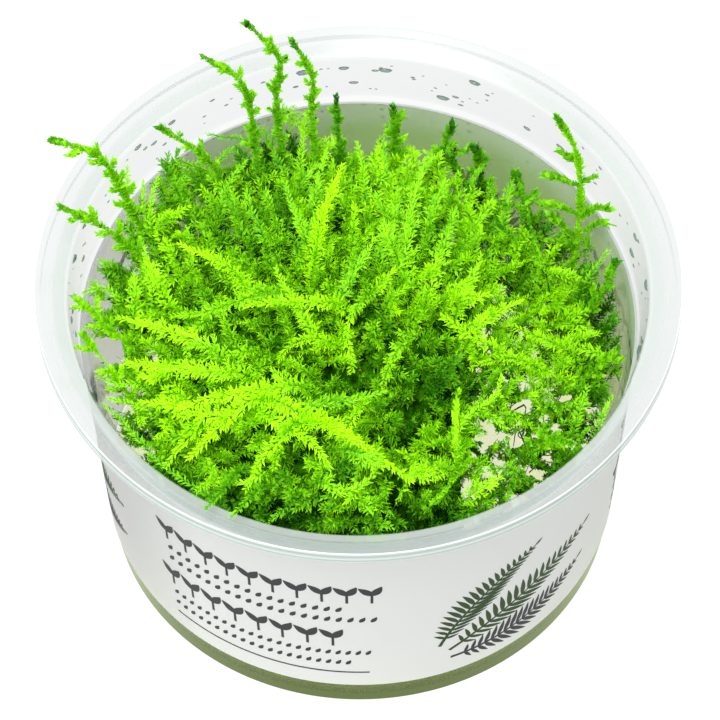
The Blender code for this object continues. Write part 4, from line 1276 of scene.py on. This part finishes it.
def grow_shoots(foliage):
    """The free shoots: slender, with short close leaves, and small side buds here and there."""
    for name, (route, scale, tone) in SHOOTS.items():
        if name.startswith(("middle", "front")):
            foliage.frond(route, (0, -0.4, 0.9), tone, 1.3 * scale, 2.0 * scale, stem_tone=0.5)
            continue
        buds = BUDS.get(name, BUDS[name.split("_")[0]])
        broad = 1.3 if name in BROAD_SHOOTS else 1.08
        foliage.scaly_shoot(route, scale * broad, tone + 0.06, 0.3, buds * broad)
    for route in SHOOT_BRANCHES:
        foliage.scaly_shoot(route, 1.05, 0.6, 0.2)


def build_core(material):
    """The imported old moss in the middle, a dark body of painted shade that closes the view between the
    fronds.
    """
    angles = np.linspace(0, math.tau, CORE_STEPS, endpoint=False)
    draw = np.random.default_rng(5)
    from_notch = np.angle(np.exp(1j * (angles - CORE_NOTCH)))
    notch = CORE_NOTCH_DEPTH * np.exp(-((from_notch / CORE_NOTCH_WIDTH) ** 4))
    reach = clump_reach(angles) - CORE_INSET - notch
    edge = clump_height(reach * np.cos(angles), reach * np.sin(angles)) - CORE_EDGE_DROP
    foot = GEL_TOP + 0.5
    points = []
    for ring in range(CORE_RINGS):
        share = ring / (CORE_RINGS - 1)
        if share < 0.5:
            fall = share / 0.5
            radius = reach * np.sin(fall * math.pi / 2) + AXIS
            height = clump_height(radius * np.cos(angles), radius * np.sin(angles)) - CORE_DEPTH - 5 * fall**3
        else:
            fall = (share - 0.5) / 0.5
            radius = reach + 1.5 * math.sin(fall * math.pi)
            height = edge + (foot - edge) * fall
        noise = draw.normal(0, 0.35, CORE_STEPS)
        radius = radius + noise
        points.append(np.stack([radius * np.cos(angles), radius * np.sin(angles), height + noise], 1))
    middle = np.array([[0, 0, float(clump_height(0.0, 0.0)) - CORE_DEPTH]])
    bottom = np.array([[0, 0, foot]])
    spots = np.concatenate([*points[1:], middle, bottom])
    count = CORE_RINGS - 1
    ring = np.arange(CORE_STEPS)
    after = (ring + 1) % CORE_STEPS
    last = (count - 1) * CORE_STEPS
    top = np.stack([np.full(CORE_STEPS, len(spots) - 2), ring, after], 1)
    low = np.stack([np.full(CORE_STEPS, len(spots) - 1), last + after, last + ring], 1)
    faces = np.concatenate([tube_faces(count, CORE_STEPS), top, low])
    return mesh_object("packed_old_moss_painted_shade", spots, faces, material)


def build_beads(material):
    """Beads of condensed water on the inner wall above the label: flat domes up to 2.4 mm wide."""
    draw = np.random.default_rng(9)
    spots, faces = [], []
    turns = np.arange(BEAD_SIDES) * math.tau / BEAD_SIDES
    lip = TUB_HEIGHT - LIP_DROP
    low = SHOULDER_RADIUS + SHOULDER_STEP - WALL
    for _ in range(BEADS):
        angle = draw.uniform(0, math.tau)
        height = draw.uniform(SHOULDER_HEIGHT + 1.8, lip - 0.8)
        size = 0.12 + 0.5 * draw.random() ** 3
        radius = low + (LIP_RADIUS - low) * (height - SHOULDER_HEIGHT) / (lip - SHOULDER_HEIGHT)
        inward = np.array([-math.cos(angle), -math.sin(angle), 0])
        along = np.array([-math.sin(angle), math.cos(angle), 0])
        middle = -inward * radius + UP * height
        first = len(spots)
        stretch = draw.uniform(0.6, 1.0)
        for ring, rise in ((1.0, 0.0), (0.8, 0.42), (0.42, 0.62)):
            for turn in turns:
                offset = along * math.cos(turn) * ring * 1.9 + UP * math.sin(turn) * ring * stretch
                spots.append(middle + offset * size + inward * (rise * size - 0.05))
        spots.append(middle + inward * (0.68 * size - 0.05))
        spots.append(middle - inward * 0.08)
        for row in (first, first + BEAD_SIDES):
            for k in range(BEAD_SIDES):
                a, b = row + k, row + (k + 1) % BEAD_SIDES
                faces += [[a, b, b + BEAD_SIDES], [a, b + BEAD_SIDES, a + BEAD_SIDES]]
        last, top = first + 2 * BEAD_SIDES, first + 3 * BEAD_SIDES
        for k in range(BEAD_SIDES):
            after = (k + 1) % BEAD_SIDES
            faces += [[last + k, last + after, top], [first + after, first + k, top + 1]]
    return mesh_object("condensed_water", np.array(spots), faces, material)


def build_floor(material):
    """The studio floor, a hair under the tub."""
    reach, height = 1500.0, -0.05
    ways = ((-1, -1), (1, -1), (1, 1), (-1, 1))
    corners = [(reach * x, reach * y, height) for x, y in ways]
    mesh_object("studio_floor", corners, [[0, 1, 2, 3]], material)


def build_light():
    """A white studio tent with one large soft lamp overhead."""
    world = bpy.data.worlds.new("white_tent")
    bpy.context.scene.world = world
    world.use_nodes = True
    world.node_tree.nodes.clear()
    sky = add(world.node_tree, "ShaderNodeBackground", {"Color": srgb("#FFFFFF"), "Strength": 0.95})
    add(world.node_tree, "ShaderNodeOutputWorld", {"Surface": sky})
    lamp = bpy.data.lights.new("soft_box", "AREA")
    lamp.shape = "DISK"
    lamp.size = 0.5
    lamp.energy = 9.0
    holder = bpy.data.objects.new("soft_box", lamp)
    holder.location = (-0.15, -0.25, 0.75)
    holder.rotation_euler = (Vector((0, 0, 0.05)) - holder.location).to_track_quat("-Z", "Y").to_euler()
    bpy.context.scene.collection.objects.link(holder)
    bpy.context.scene.view_settings.view_transform = "Standard"


def build_camera():
    """A long lens at the photograph's distance, 55 degrees above the floor."""
    pitch, roll = 0.9646, -0.0125
    ahead = Vector((0, math.cos(pitch), -math.sin(pitch)))
    right = Vector((1, 0, 0))
    up = right.cross(ahead)
    right, up = (right * math.cos(roll) + up * math.sin(roll)), (up * math.cos(roll) - right * math.sin(roll))
    ahead = (ahead + right * 0.000197 + up * 0.000043).normalized()
    right = ahead.cross(up).normalized()
    up = right.cross(ahead)
    data = bpy.data.cameras.new("camera")
    data.sensor_width = 36.0
    data.lens = 350.0
    data.clip_end = 20.0
    camera = bpy.data.objects.new("camera", data)
    matrix = Matrix((right, up, -ahead)).transposed().to_4x4()
    matrix.translation = Vector((-0.000075, -0.59343, 0.89098))
    camera.matrix_world = matrix
    bpy.context.scene.collection.objects.link(camera)
    bpy.context.scene.camera = camera


def build():
    """The whole scene: camera, light and floor, then the tub with what is in it and on it, then the moss."""
    build_camera()
    build_light()
    build_floor(studio_floor())
    core = build_core(old_moss())
    pieces = [
        core,
        build_tub(clear_polypropylene()),
        build_label(label_front(), label_back()),
        build_gel(nutrient_gel()),
        build_beads(water_bead()),
        *build_print(printing_ink("leaf_green_ink", "#213C0C"), printing_ink("dark_grey_ink", "#2C2E2F")),
    ]
    foliage = Foliage(11)
    few = 1.0
    grow_strands(foliage)
    grow_shoots(foliage)
    for count, *layer in FILL_LAYERS:
        grow_fill(foliage, int(count * few), *layer)
    grow_sides(foliage, int(SIDE_FRONDS * few))
    grow_edges(foliage, int(EDGE_FRONDS * few))
    grow_old_stems(foliage, int(OLD_STEMS * few))
    moss = foliage.build("moss_fronds", moss_leaf())
    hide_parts("moss_clump")
    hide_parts(*[f"shoot_{name}" for name in SHOOTS])
    for piece in moss:
        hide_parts("moss_clump")
    for piece in (*pieces, *moss):
        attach(piece, "root")


build()
